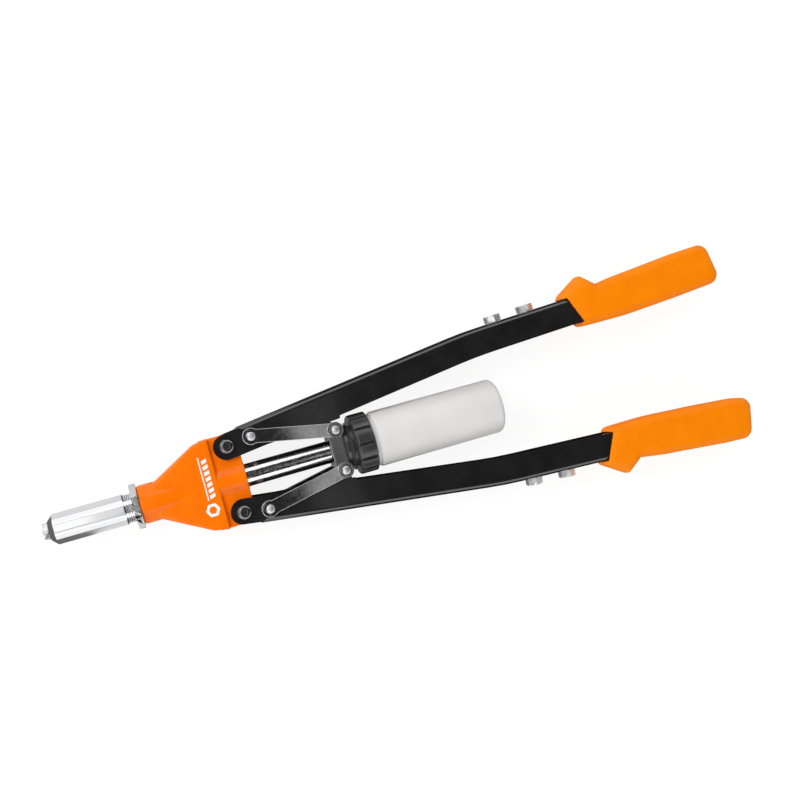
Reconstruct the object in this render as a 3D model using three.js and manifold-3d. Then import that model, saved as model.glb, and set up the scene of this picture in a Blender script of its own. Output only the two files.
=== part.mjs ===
// Long-arm hand riveter: a blind-rivet puller worked by two long handles.
// Millimetres. X runs along the tool from the nose to the grips, Y across the handles, Z up
// with the tool lying flat. While it is built the X axis is the pulling axis, with X = 0 at the
// nose; the last lines stand the finished tool on its lowest point.

import * as THREE from 'three';
import { mergeVertices } from 'three/addons/utils/BufferGeometryUtils.js';
import Module from 'manifold-3d';

const wasm = await Module();
wasm.setup();

// ---------------------------------------------------------------- driving dimensions
// Clearances
const running_gap = 0.15; // radial play of anything that turns or slides in a bore
const seat_gap = 0.1; // between pieces that stand face to face
const slide_gap = 0.3; // between flat pieces that slide past each other
const overlap = 1; // how far a joined or cutting shape runs past the face it meets
const broken_edge = 0.4; // taken off the ends of pins and the rims of turned pieces

// Nosepieces
const nosepiece_flats = 11;
const nosepiece_head = 3.9;
const spare_nosepiece_head = 5.2;
const nosepiece_thread_r = 4.5;
const nosepiece_bore_r = 2.5;
const nosepiece_tail = 1.6; // the cone that pushes the jaws open
const nosepiece_tail_wall = 0.8; // left at the cone's small end
const nosepiece_corner = 0.8; // turned off the hexagon
const corner_slope = 0.45; // of the turned-down corners, along against across

// Front sleeve and its lock nut
const sleeve_r = 10.5;
const sleeve_chamfer = 3.8;
const sleeve_chamfer_slope = 0.95;
const sleeve_front_wall = 6;
const sleeve_body_length = 50.3;
const sleeve_wall = 2.7;
const sleeve_thread_r = sleeve_r - 0.7;
const sleeve_thread_shown = 5.6;
const sleeve_thread_hidden = 20.8;
const lock_nut_corner_r = sleeve_thread_r + 6;
const lock_nut_thickness = 4.4;

// Head casting
const barrel_r = sleeve_thread_r + 3.6;
const barrel_edge_round = 2;
const barrel_length = 11;
const barrel_blend = 24; // the barrel sinks into the wedge over this length
const wedge_length = 42.5; // from the barrel to the step
const wedge_half_width = 31.8;
const wedge_root_y = 10.2; // where its flanks leave the barrel
const wedge_root_back = 3.2; // and how far ahead of the wedge's start
const wedge_corner_back = 10.9; // the flank's corner, from the step
const wedge_corner_drop = 2.1; // and in from the full width
const wedge_thickness = 21;
const rear_plate_length = 19.7;
const rear_plate_thickness = 14.4;
const rear_root = 6; // the rear plate and boss start this far inside the wedge

// Pivots on the head and the arms
const pivot_from_step = 11.7;
const pivot_half_spread = 23.4;
const pivot_screw_r = 3;
const pivot_head_r = 5.25;
const pivot_head_height = 3.3;
const pivot_head_rim = 0.7; // height of the head's upright rim
const pivot_head_flat_r = 2.95;
const pivot_socket_flats = 4;
const pivot_socket_depth = 2;
const pivot_nut_flats = 10;
const pivot_nut_height = 5;
const pivot_tip_shown = 1; // of the screw, past its nut
const crank_length = 17.66; // head pivot to link pivot
const crosshead_pin_half_spread = 14.5;
const link_length = 58.7;

// Arms: steel channels, open towards the tool's axis
const arm_angle = THREE.MathUtils.degToRad(7.7);
const arm_rear_angle = THREE.MathUtils.degToRad(3.2);
const ear_r = 9.3;
const arm_width = 20.2;
const arm_sheet = 2.5;
const arm_height = rear_plate_thickness + 2 * (slide_gap + arm_sheet);
const web_start = 10.9; // past the head pivot
const cheek_start = 25; // from here the flanges hang below the ear
const cheek_drop = 3.5; // by this much at the cheek's end
const cheek_end = 80;
const arm_bend = 190;
const arm_rear_length = 186;
const spare_spacing = 26.5;
const spare_from_bend = 25.1;

// Grips
const grip_start = 80;
const grip_length = 131;
const grip_thickness = 28;
const grip_wall_in = 4; // rubber on the arm's open side
const grip_wall_out = 4.6; // rubber over the web, behind the finger guard
const grip_swell = 3.4; // extra at the heel end
const grip_swell_at = 100; // from the mouth, where the swell is full
const grip_belly = 1.6; // of the inner side
const grip_belly_at = 44;
const grip_front_slant = 8; // the mouth's lean
const grip_heel_lean = 5; // the heel's outer corner, short of the inner one
const grip_heel_round = 11;
const grip_mouth_thin = 1.3; // off each face at the mouth
const grip_mouth_taper = 32;
const guard_lip = 2.8; // how far the guard's toe reaches past the mouth
const guard_toe = 2.6; // height of the toe
const guard_height = 14.4; // of the guard's corner before it is rounded
const guard_peak = 21; // from the grip's mouth to the guard's peak
const guard_length = 29;
const guard_round = 3;
const grip_fit = 0.3;

// Links, pins and their rings
const link_thickness = 2.5;
const link_eye_r = 5.9;
const link_waist = 9.6;
const link_tip_r = 5.3;
const pin_r = 3;
const pin_proud = 1.7;
const pin_waist_r = 2; // the handle pin's middle
const pin_play = 2.2; // room round that waist in the arm's flanges
const circlip_thickness = 0.8;
const circlip_handle_r = 5.2;
const circlip_crosshead_r = 4.35;
const washer_r = 5.8;
const washer_thickness = 0.6;

// Crosshead
const crosshead_thickness = 10.3; // along the tool
const crosshead_pin_back = 4.4; // pin to rear face
const crosshead_ear = 5.1; // past the pin, outwards
const crosshead_corner = 3.5; // rounded off each way

// Draw tube, jaw case and jaws
const stroke = 14.1;
const tube_r = 8;
const tube_end_r = tube_r - 1; // through the crosshead and the cap
const tube_wall = 1.75; // at the spigot
const tube_boss_wall = 2.6; // of the head's boss round the tube
const jaw_case_overhang = 0.5; // of the case's wall past the tube in front
const jaw_case_length = 42.5;
const jaw_case_wall = 1.6;
const jaw_cone_rise = 1.7; // from the case's mouth to its bore
const jaw_cone_length = 12.5;
const jaw_case_edge = 1;
const tube_spigot_length = 10;
const jaw_count = 3;
const jaw_bite_r = 1.4;
const jaw_end_gap = 1; // between the jaws and each end of the case's cone
const jaw_pusher_length = 7.6;
const jaw_pusher_edge = 1.5;
const spring_wire_r = 0.55;
const spring_turns = 5;
const spring_side_gap = 0.2; // inside the pusher's radius

// Catcher cap and bottle
const cap_r = 21.6;
const cap_flutes = 12;
const cap_flute_depth = 1.1;
const cap_flute_width = 2.4;
const cap_hub_r = tube_end_r + 5.5;
const cap_hub_length = 2.6;
const cap_cone_length = 4.3;
const cap_cone_front_r = cap_hub_r + 3;
const cap_band_length = 13;
const cap_wall = 2.8;
const cap_floor = 3;
const bottle_r = cap_r - 1.6;
const bottle_wall = 1.2;
const bottle_shown = 98.2;
const bottle_shoulder = 3.6;
const bottle_base_round = 4;
const bottle_mouth_gap = 0.5; // between the bottle's mouth and the cap's floor

// ---------------------------------------------------------------- places worked out from them
const nose_front = 0;
const sleeve_front = nose_front + nosepiece_head;
const sleeve_chamfer_r = sleeve_r - sleeve_chamfer * sleeve_chamfer_slope;
const sleeve_bore_r = sleeve_r - sleeve_wall;
const sleeve_body_end = sleeve_front + sleeve_body_length;
const lock_nut_front = sleeve_body_end + sleeve_thread_shown;
const head_front = lock_nut_front + lock_nut_thickness + seat_gap;
const sleeve_end = sleeve_body_end + sleeve_thread_shown + sleeve_thread_hidden;
const wedge_start = head_front + barrel_length;
const step_x = wedge_start + wedge_length;
const head_rear = step_x + rear_plate_length;
const pivot_x = step_x + pivot_from_step;
const crank_angle = arm_angle;
const link_pin_x = pivot_x + crank_length * Math.cos(crank_angle);
const link_pin_y = pivot_half_spread + crank_length * Math.sin(crank_angle);
const link_fall = link_pin_y - crosshead_pin_half_spread;
const crosshead_pin_x = link_pin_x + Math.sqrt(link_length ** 2 - link_fall ** 2);
const link_angle = Math.atan2(-link_fall, crosshead_pin_x - link_pin_x);
const crosshead_rear = crosshead_pin_x + crosshead_pin_back;
const crosshead_front = crosshead_rear - crosshead_thickness;
const link_inner_z = arm_height / 2 + slide_gap;
const link_outer_z = link_inner_z + link_thickness;
const nosepiece_end = sleeve_front + sleeve_front_wall + nosepiece_tail + nosepiece_thread_r / 2;
const jaw_case_front = nosepiece_end + slide_gap + stroke;
const jaw_case_rear = jaw_case_front + jaw_case_length;
const jaw_case_r = sleeve_bore_r - slide_gap;
const jaw_case_bore_r = jaw_case_r - jaw_case_wall;
const jaw_case_mouth_r = jaw_case_bore_r - jaw_cone_rise;
const tube_front_r = jaw_case_r - jaw_case_overhang;
const tube_spigot_r = jaw_case_bore_r - running_gap;
const tube_bore_r = tube_spigot_r - tube_wall;
const jaw_cone_end = jaw_case_front + jaw_cone_length;
const tube_spigot_front = jaw_case_rear - tube_spigot_length;
const tube_shoulder = sleeve_end + stroke + slide_gap;
const tube_hole_r = tube_r + running_gap;
const cap_front = crosshead_rear + seat_gap;
const cap_cone_front = cap_front + cap_hub_length;
const cap_band_front = cap_cone_front + cap_cone_length;
const cap_rear = cap_band_front + cap_band_length;
const cap_floor_x = cap_band_front + cap_floor;
const tube_rear = cap_floor_x;

// ---------------------------------------------------------------- materials
const finish = (color, roughness, metalness) =>
  new THREE.MeshStandardMaterial({ color, roughness, metalness });
const orange_paint = finish(0xf97a00, 0.4, 0.1);
const orange_rubber = finish(0xfd8900, 0.55, 0);
const black_paint = finish(0x222121, 0.5, 0.2);
const black_plastic = finish(0x444444, 0.6, 0);
const chrome = finish(0xe6e6e8, 0.12, 1);
const bright_steel = finish(0xc2c4c6, 0.3, 1);
const dark_steel = finish(0x3c3c3e, 0.4, 1);
const spring_steel = finish(0x8d8f92, 0.35, 1);
const milky_plastic = new THREE.MeshStandardMaterial({
  color: 0xe0dedc,
  roughness: 0.45,
  metalness: 0,
  transparent: true,
  opacity: 0.75,
});

// ---------------------------------------------------------------- shape helpers
const round = 36;
const small_round = 18;

function positionsOnly(geometry) {
  const bare = geometry.clone();
  for (const name of Object.keys(bare.attributes)) {
    if (name !== 'position') bare.deleteAttribute(name);
  }
  return mergeVertices(bare, 1e-4);
}

function signedVolume(vertices, triangles) {
  let volume = 0;
  const corner = [new THREE.Vector3(), new THREE.Vector3(), new THREE.Vector3()];
  for (let i = 0; i < triangles.length; i += 3) {
    corner.forEach((point, k) => point.fromArray(vertices, 3 * triangles[i + k]));
    volume += corner[0].dot(corner[1].cross(corner[2])) / 6;
  }
  return volume;
}

// A closed three.js geometry as a solid that can be joined and cut.
function solid(geometry) {
  const merged = positionsOnly(geometry);
  const vertices = Float32Array.from(merged.attributes.position.array);
  const index = merged.index.array;
  const triangles = [];
  for (let i = 0; i < index.length; i += 3) {
    const [a, b, c] = [index[i], index[i + 1], index[i + 2]];
    if (a !== b && b !== c && c !== a) triangles.push(a, b, c);
  }
  if (signedVolume(vertices, triangles) < 0) triangles.reverse();
  const mesh = new wasm.Mesh({
    numProp: 3,
    vertProperties: vertices,
    triVerts: Uint32Array.from(triangles),
  });
  return new wasm.Manifold(mesh);
}

function geometryOf(body) {
  const mesh = body.getMesh();
  const geometry = new THREE.BufferGeometry();
  geometry.setAttribute('position', new THREE.BufferAttribute(mesh.vertProperties, 3));
  geometry.setIndex(new THREE.BufferAttribute(mesh.triVerts, 1));
  return geometry;
}

// A profile of [x, radius] points turned about the X axis.
function turned(profile, segments = round) {
  const points = profile.map(([x, r]) => new THREE.Vector2(r, x));
  const geometry = new THREE.LatheGeometry(points, segments);
  geometry.rotateZ(-Math.PI / 2);
  return geometry;
}

const rod = (from, to, r, segments = round) =>
  turned([[from, 0], [from, r], [to, r], [to, 0]], segments);

// A flat outline given a thickness along Z, from one height to another.
function plate(shape, low, high, curveSegments = 12) {
  const geometry = new THREE.ExtrudeGeometry(shape, {
    depth: high - low,
    bevelEnabled: false,
    curveSegments,
  });
  geometry.translate(0, 0, low);
  return geometry;
}

// An upright profile of [radius, z] points turned about a vertical axis at (x, y).
function upright(x, y, profile, segments = small_round) {
  const points = profile.map(([r, z]) => new THREE.Vector2(r, z));
  const geometry = new THREE.LatheGeometry(points, segments);
  geometry.rotateX(Math.PI / 2);
  geometry.translate(x, y, 0);
  return geometry;
}

const post = (x, y, r, low, high, segments = small_round) =>
  upright(x, y, [[0, low], [r, low], [r, high], [0, high]], segments);

const ring = (x, y, r, bore_r, low, high, segments = small_round) =>
  upright(x, y, [[bore_r, low], [r, low], [r, high], [bore_r, high], [bore_r, low]], segments);

// A closed outline through corners [x, y, cut]. Each corner is rounded off over the distance
// `cut` on either side of it, or left sharp without one.
function outline(corners) {
  const shape = new THREE.Shape();
  corners.forEach(([x, y, cut = 0], i) => {
    const here = new THREE.Vector2(x, y);
    const towards = ([far_x, far_y]) =>
      new THREE.Vector2(far_x, far_y).sub(here).setLength(cut).add(here);
    const before = towards(corners.at(i - 1));
    const after = towards(corners[(i + 1) % corners.length]);
    if (i === 0) shape.moveTo(before.x, before.y);
    else shape.lineTo(before.x, before.y);
    if (cut > 0) shape.quadraticCurveTo(x, y, after.x, after.y);
  });
  shape.closePath();
  return shape;
}

// A hexagon with a flat towards +Y, centred on the origin.
function hexagon(flats) {
  const corner = flats / Math.sqrt(3);
  const angles = [0, 1, 2, 3, 4, 5].map((i) => (i * Math.PI) / 3);
  return outline(angles.map((angle) => [corner * Math.cos(angle), corner * Math.sin(angle)]));
}

// A hexagonal bar along X with its corners turned down at the ends. Its corners stand up and
// down, or with a twelfth of a turn to either side.
function hexBar(from, to, flats, edge, turn = 0) {
  const bar = plate(hexagon(flats), 0, to - from);
  bar.rotateY(Math.PI / 2);
  bar.rotateX(turn);
  bar.translate(from, 0, 0);
  const face_r = flats / 2 - edge / 2;
  const corner_r = flats / Math.sqrt(3);
  const reach = corner_r - face_r;
  const slope = reach * corner_slope;
  const turning = [[from, 0], [from, face_r], [from + slope, corner_r]];
  turning.push([to - slope, corner_r], [to, face_r], [to, 0]);
  return solid(bar).intersect(solid(turned(turning, small_round)));
}

// The same geometry on the other side of the tool's upright mid-plane.
function mirrored(geometry) {
  const bare = positionsOnly(geometry);
  bare.scale(1, -1, 1);
  bare.setIndex([...bare.index.array].reverse());
  return bare;
}

const tool = new THREE.Group();

function add(name, geometry, material) {
  const mesh = new THREE.Mesh(positionsOnly(geometry), material);
  mesh.name = name;
  tool.add(mesh);
}

// Adds a piece built on the +Y side, and its twin on the -Y side.
function addPair(name, geometry, material, suffix = '') {
  add(`${name}_right${suffix}`, geometry, material);
  add(`${name}_left${suffix}`, mirrored(geometry), material);
}

// ---------------------------------------------------------------- nose, sleeve and lock nut
// A nosepiece along X: hexagon in front, thread and jaw-opening cone behind, bored through.
function nosepiece(head_length, thread_length) {
  const thread_end = head_length + thread_length;
  const shank_start = head_length - overlap;
  const cone_r = nosepiece_bore_r + nosepiece_tail_wall;
  const cone_end = thread_end + nosepiece_tail;
  const shank = [[shank_start, 0], [shank_start, nosepiece_thread_r]];
  shank.push([thread_end, nosepiece_thread_r], [cone_end, cone_r], [cone_end, 0]);
  const hex = hexBar(0, head_length - seat_gap, nosepiece_flats, nosepiece_corner);
  const bore = rod(-overlap, cone_end + overlap, nosepiece_bore_r, small_round);
  return hex.add(solid(turned(shank, small_round))).subtract(solid(bore));
}

function frontSleeve() {
  const hole_r = nosepiece_thread_r + running_gap;
  const bore_front = sleeve_front + sleeve_front_wall;
  const outline = [[sleeve_front, hole_r], [sleeve_front, sleeve_chamfer_r]];
  outline.push([sleeve_front + sleeve_chamfer, sleeve_r], [sleeve_body_end, sleeve_r]);
  outline.push([sleeve_body_end, sleeve_thread_r], [sleeve_end, sleeve_thread_r]);
  outline.push([sleeve_end, sleeve_bore_r], [bore_front, sleeve_bore_r]);
  outline.push([bore_front, hole_r], [sleeve_front, hole_r]);
  return turned(outline);
}

function lockNut() {
  const flats = lock_nut_corner_r * Math.sqrt(3);
  const rear = lock_nut_front + lock_nut_thickness;
  const nut = hexBar(lock_nut_front, rear, flats, broken_edge, Math.PI / 6);
  const hole_r = sleeve_thread_r + running_gap;
  return nut.subtract(solid(rod(lock_nut_front - overlap, rear + overlap, hole_r)));
}

const nosepiece_thread = sleeve_front_wall + nosepiece_thread_r / 2;
add('nosepiece_fitted', geometryOf(nosepiece(nosepiece_head, nosepiece_thread)), bright_steel);
add('front_sleeve', frontSleeve(), chrome);
add('sleeve_lock_nut', geometryOf(lockNut()), bright_steel);

// ---------------------------------------------------------------- head casting
function wedgeOutline() {
  const corner_y = wedge_half_width - wedge_corner_drop;
  const right = [[wedge_start - 2 * wedge_root_back, wedge_root_y - wedge_root_back]];
  right.push([wedge_start - wedge_root_back, wedge_root_y]);
  right.push([step_x - wedge_corner_back, corner_y, wedge_corner_drop]);
  right.push([step_x, wedge_half_width]);
  const left = right.map(([x, y, cut]) => [x, -y, cut]);
  return outline([...left, ...right.reverse()]);
}

// The thinner rear plate that the arms' ears straddle, rounded about the two pivots.
function rearPlateOutline() {
  const shape = new THREE.Shape();
  const round_r = head_rear - pivot_x;
  const front = step_x - rear_root;
  const side = pivot_half_spread + round_r;
  shape.moveTo(front, -side);
  shape.lineTo(pivot_x, -side);
  shape.absarc(pivot_x, -pivot_half_spread, round_r, -Math.PI / 2, 0, false);
  shape.lineTo(head_rear, pivot_half_spread);
  shape.absarc(pivot_x, pivot_half_spread, round_r, 0, Math.PI / 2, false);
  shape.lineTo(front, side);
  shape.closePath();
  return shape;
}

function headCasting() {
  const half = wedge_thickness / 2;
  const blend_end = wedge_start + barrel_blend;
  const barrel = [[head_front, 0], [head_front, barrel_r - barrel_edge_round]];
  for (let i = 1; i <= 4; i += 1) {
    const angle = (i * Math.PI) / 8;
    const back = barrel_edge_round * (1 - Math.cos(angle));
    const out = barrel_edge_round * (Math.sin(angle) - 1);
    barrel.push([head_front + back, barrel_r + out]);
  }
  barrel.push([wedge_start, barrel_r], [blend_end, half - seat_gap], [blend_end, 0]);
  let body = solid(turned(barrel));
  body = body.add(solid(plate(wedgeOutline(), -half, half)));
  const rear_half = rear_plate_thickness / 2;
  body = body.add(solid(plate(rearPlateOutline(), -rear_half, rear_half)));
  body = body.add(solid(rod(step_x - rear_root, head_rear, tube_r + tube_boss_wall)));
  const sleeve_hole_r = sleeve_thread_r + running_gap;
  const sleeve_hole_end = sleeve_end + seat_gap;
  body = body.subtract(solid(rod(head_front - overlap, sleeve_hole_end, sleeve_hole_r)));
  body = body.subtract(solid(rod(sleeve_end - overlap, head_rear + overlap, tube_hole_r)));
  for (const side of [-1, 1]) {
    const hole = post(pivot_x, side * pivot_half_spread, pivot_screw_r + running_gap, -half, half);
    body = body.subtract(solid(hole));
  }
  return body;
}

add('head_casting', geometryOf(headCasting()), orange_paint);

// ---------------------------------------------------------------- head pivots
function pivotScrew() {
  const seat = arm_height / 2 + seat_gap;
  const tip = -(seat + pivot_nut_height + pivot_tip_shown);
  const rim = seat + pivot_head_rim;
  const top = seat + pivot_head_height;
  const profile = [[0, tip], [pivot_screw_r - broken_edge, tip]];
  profile.push([pivot_screw_r, tip + broken_edge], [pivot_screw_r, seat]);
  profile.push([pivot_head_r, seat], [pivot_head_r, rim]);
  const crown = 3;
  for (let i = 1; i <= crown; i += 1) {
    const angle = (i / crown) * (Math.PI / 2);
    const r = pivot_head_r - (pivot_head_r - pivot_head_flat_r) * (1 - Math.cos(angle));
    profile.push([r, rim + (top - rim) * Math.sin(angle)]);
  }
  profile.push([0, top]);
  const socket = plate(hexagon(pivot_socket_flats), top - pivot_socket_depth, top + overlap);
  const geometry = geometryOf(solid(upright(0, 0, profile)).subtract(solid(socket)));
  geometry.translate(pivot_x, pivot_half_spread, 0);
  return geometry;
}

function pivotNut() {
  const top = -(arm_height / 2 + seat_gap);
  const low = top - pivot_nut_height;
  const nut = solid(plate(hexagon(pivot_nut_flats), low, top));
  const hole = post(0, 0, pivot_screw_r + running_gap, low - overlap, top + overlap);
  const geometry = geometryOf(nut.subtract(solid(hole)));
  geometry.translate(pivot_x, pivot_half_spread, 0);
  return geometry;
}

addPair('pivot_screw', pivotScrew(), dark_steel);
addPair('pivot_nut', pivotNut(), bright_steel);

// ---------------------------------------------------------------- arms
// Points on the arm, from its length u and its offset v outwards, about the head pivot.
const arm_cos = Math.cos(arm_angle);
const arm_sin = Math.sin(arm_angle);
const onArm = (u, v) => [
  pivot_x + u * arm_cos - v * arm_sin,
  pivot_half_spread + u * arm_sin + v * arm_cos,
];

// Points on the arm's rear leg and on the grip: s runs from the bend, t is outwards of the web.
const bend = onArm(arm_bend, ear_r);
const rear_cos = Math.cos(arm_rear_angle);
const rear_sin = Math.sin(arm_rear_angle);
const onRear = (s, t) => [
  bend[0] + s * rear_cos - t * rear_sin,
  bend[1] + s * rear_sin + t * rear_cos,
];

// An arc about the head pivot as points, by angle from the arm's own direction.
function earArc(r, from, to, steps) {
  const points = [];
  for (let i = 0; i <= steps; i += 1) {
    const angle = from + ((to - from) * i) / steps;
    points.push(onArm(r * Math.cos(angle), r * Math.sin(angle)));
  }
  return points;
}

function flangeOutline() {
  const points = earArc(ear_r, Math.PI / 2, (3 * Math.PI) / 2, 14);
  points.push(onArm(cheek_start, -ear_r), onArm(cheek_end, -ear_r - cheek_drop));
  points.push(onArm(cheek_end, ear_r - arm_width), onArm(arm_bend, ear_r - arm_width));
  points.push(onRear(arm_rear_length, -arm_width), onRear(arm_rear_length, 0), bend);
  return outline(points);
}

// What is bent or cut away between the flanges: all but the web along the outer edge.
function channelOutline() {
  const inside = ear_r - arm_sheet;
  const below = ear_r - arm_width - ear_r;
  const front = -ear_r - overlap;
  const points = [onArm(web_start, ear_r + overlap), onArm(front, ear_r + overlap)];
  points.push(onArm(front, below), onArm(arm_bend, below));
  points.push(onRear(arm_rear_length + overlap, -arm_width - ear_r));
  points.push(onRear(arm_rear_length + overlap, -arm_sheet), onArm(arm_bend, inside));
  points.push(onArm(web_start, inside));
  return outline(points);
}

function spareSeats() {
  return [0, 1].map((i) => spare_from_bend + i * spare_spacing);
}

function arm() {
  const half = arm_height / 2;
  const gap = half - arm_sheet;
  const reach = half + overlap;
  let body = solid(plate(flangeOutline(), -half, half));
  body = body.subtract(solid(plate(channelOutline(), -gap, gap)));
  const screw_hole_r = pivot_screw_r + running_gap;
  body = body.subtract(solid(post(pivot_x, pivot_half_spread, screw_hole_r, -reach, reach)));
  const pin_hole_r = pin_waist_r + pin_play;
  body = body.subtract(solid(post(link_pin_x, link_pin_y, pin_hole_r, -reach, reach)));
  for (const s of spareSeats()) {
    const hole_r = nosepiece_thread_r + running_gap;
    const hole = rod(-arm_sheet - overlap, overlap, hole_r, small_round);
    body = body.subtract(solid(placedOnWeb(hole, s)));
  }
  return body;
}

// Turns a piece that lies along X so that +X becomes the way out of the web at s.
function placedOnWeb(geometry, s) {
  const placed = geometry.clone();
  placed.rotateZ(Math.PI / 2 + arm_rear_angle);
  placed.translate(...onRear(s, 0), 0);
  return placed;
}

function spareNosepiece(s) {
  const piece = geometryOf(nosepiece(spare_nosepiece_head, nosepiece_thread));
  piece.rotateZ(Math.PI);
  piece.translate(spare_nosepiece_head + seat_gap, 0, 0);
  return placedOnWeb(piece, s);
}

addPair('arm', geometryOf(arm()), black_paint);
spareSeats().forEach((s, i) => {
  addPair('spare_nosepiece', spareNosepiece(s), bright_steel, `_${i + 1}`);
});

// ---------------------------------------------------------------- grips
function gripOutline() {
  const end = grip_start + grip_length;
  const inner = -arm_width - grip_wall_in;
  const heel = grip_wall_out + grip_swell;
  const toe = grip_start - guard_lip;
  const corners = [
    [grip_start + grip_front_slant, inner],
    [grip_start + grip_belly_at, inner - grip_belly, grip_belly_at / 2],
    [end, inner + grip_belly / 2, grip_heel_round],
    [end - grip_heel_lean, heel, grip_heel_round],
    [grip_start + grip_swell_at, heel, grip_heel_round],
    [grip_start + guard_length, grip_wall_out - grip_belly, guard_round],
    [grip_start + guard_peak, guard_height, guard_round],
    [toe + guard_toe, guard_toe, guard_round / 2],
    [toe, 2 * grip_fit],
  ];
  return outline(corners.map(([s, t, cut]) => [...onRear(s, t), cut]));
}

// The grip's outline seen from the side, with its heel rounded and its mouth thinner.
function gripSideOutline() {
  const half = grip_thickness / 2;
  const from = grip_start - grip_front_slant;
  const to = grip_start + grip_length + overlap;
  const top = [[from, half - grip_mouth_thin]];
  top.push([from + grip_mouth_taper, half, grip_heel_round], [to, half, grip_heel_round]);
  const bottom = top.map(([x, z, cut]) => [x, -z, cut]);
  return outline([...bottom, ...top.reverse()]);
}

function grip() {
  const reach = wedge_half_width + arm_width + grip_thickness;
  const side = plate(gripSideOutline(), -reach, reach, 5);
  side.rotateX(Math.PI / 2);
  side.rotateZ(arm_rear_angle);
  side.translate(...onRear(0, 0), 0);
  const blank = solid(plate(gripOutline(), -grip_thickness, grip_thickness, 6));
  const pocket_start = grip_start - grip_length;
  const pocket_end = arm_rear_length + grip_fit;
  const corners = [onRear(pocket_start, grip_fit), onRear(pocket_end, grip_fit)];
  corners.push(onRear(pocket_end, -arm_width - grip_fit));
  corners.push(onRear(pocket_start, -arm_width - grip_fit));
  const pocket_half = arm_height / 2 + grip_fit;
  const pocket = plate(outline(corners), -pocket_half, pocket_half);
  return blank.intersect(solid(side)).subtract(solid(pocket));
}

addPair('grip', geometryOf(grip()), orange_rubber);

// ---------------------------------------------------------------- links, pins and rings
// A flat link from the handle's pin to the crosshead's pin, wider at its first eye.
function linkOutline() {
  const shape = new THREE.Shape();
  const half = link_waist / 2;
  const lean = Math.asin(half / link_eye_r);
  const tip_lean = Math.asin(half / link_tip_r);
  shape.absarc(0, 0, link_eye_r, lean, 2 * Math.PI - lean, false);
  shape.absarc(link_length, 0, link_tip_r, Math.PI + tip_lean, 3 * Math.PI - tip_lean, false);
  shape.closePath();
  for (const x of [0, link_length]) {
    const hole = new THREE.Path();
    hole.absarc(x, 0, pin_r + running_gap, 0, 2 * Math.PI, true);
    shape.holes.push(hole);
  }
  return shape;
}

function link(low) {
  const geometry = plate(linkOutline(), low, low + link_thickness, 9);
  geometry.rotateZ(link_angle);
  geometry.translate(link_pin_x, link_pin_y, 0);
  return geometry;
}

// A headless pin, waisted between the flanges where it needs room to lead or lag them.
function pivotPin(x, y, end, waist_r) {
  const neck = arm_height / 2 + slide_gap / 2;
  const profile = [[0, -end], [pin_r - broken_edge, -end], [pin_r, broken_edge - end]];
  if (waist_r < pin_r) {
    profile.push([pin_r, -neck], [waist_r, -neck], [waist_r, neck], [pin_r, neck]);
  }
  profile.push([pin_r, end - broken_edge], [pin_r - broken_edge, end], [0, end]);
  return upright(x, y, profile);
}

const handle_pin_end = link_outer_z + pin_proud;
const crosshead_pin_end = handle_pin_end + washer_thickness;
const handlePin = () => pivotPin(link_pin_x, link_pin_y, handle_pin_end, pin_waist_r);
const crossheadPin = () =>
  pivotPin(crosshead_pin_x, crosshead_pin_half_spread, crosshead_pin_end, pin_r);

addPair('link', link(link_inner_z), chrome, '_top');
addPair('link', link(-link_outer_z), chrome, '_bottom');
addPair('handle_pin', handlePin(), bright_steel);
addPair('crosshead_pin', crossheadPin(), bright_steel);

const ring_bore_r = pin_r + running_gap;
for (const [level, side] of [['top', 1], ['bottom', -1]]) {
  const between = (low, high) => (side > 0 ? [low, high] : [-high, -low]);
  const clip_low = link_outer_z + seat_gap;
  const clip_span = between(clip_low, clip_low + circlip_thickness);
  const clip = ring(link_pin_x, link_pin_y, circlip_handle_r, ring_bore_r, ...clip_span);
  addPair('handle_circlip', clip, dark_steel, `_${level}`);
  const washer_span = between(clip_low, clip_low + washer_thickness);
  const [pin_x, pin_y] = [crosshead_pin_x, crosshead_pin_half_spread];
  const washer = ring(pin_x, pin_y, washer_r, ring_bore_r, ...washer_span);
  addPair('crosshead_washer', washer, bright_steel, `_${level}`);
  const top_low = clip_low + washer_thickness + seat_gap;
  const top_span = between(top_low, top_low + circlip_thickness);
  const top_clip = ring(pin_x, pin_y, circlip_crosshead_r, ring_bore_r, ...top_span);
  addPair('crosshead_circlip', top_clip, dark_steel, `_${level}`);
}

// ---------------------------------------------------------------- crosshead and draw tube
function crosshead() {
  const half = arm_height / 2;
  const end = crosshead_pin_half_spread + crosshead_ear;
  const [front, rear] = [crosshead_front, crosshead_rear];
  const corners = [[front, -end], [rear, -end], [rear, end], [front, end]];
  const shape = outline(corners.map((corner) => [...corner, crosshead_corner]));
  let body = solid(plate(shape, -half, half, 5));
  const bore = rod(front - overlap, rear + overlap, tube_end_r + running_gap);
  body = body.subtract(solid(bore));
  for (const side of [-1, 1]) {
    const y = side * crosshead_pin_half_spread;
    const reach = half + overlap;
    const hole = post(crosshead_pin_x, y, pin_r + running_gap, -reach, reach);
    body = body.subtract(solid(hole));
  }
  return body;
}

function drawTube() {
  const collar = jaw_case_rear + seat_gap;
  const seat = crosshead_front - seat_gap;
  const profile = [[tube_spigot_front, tube_bore_r], [tube_spigot_front, tube_spigot_r]];
  profile.push([collar, tube_spigot_r], [collar, tube_front_r], [tube_shoulder, tube_front_r]);
  profile.push([tube_shoulder, tube_r], [seat, tube_r], [seat, tube_end_r]);
  profile.push([tube_rear, tube_end_r]);
  profile.push([tube_rear, tube_bore_r], [tube_spigot_front, tube_bore_r]);
  return turned(profile);
}

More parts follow.
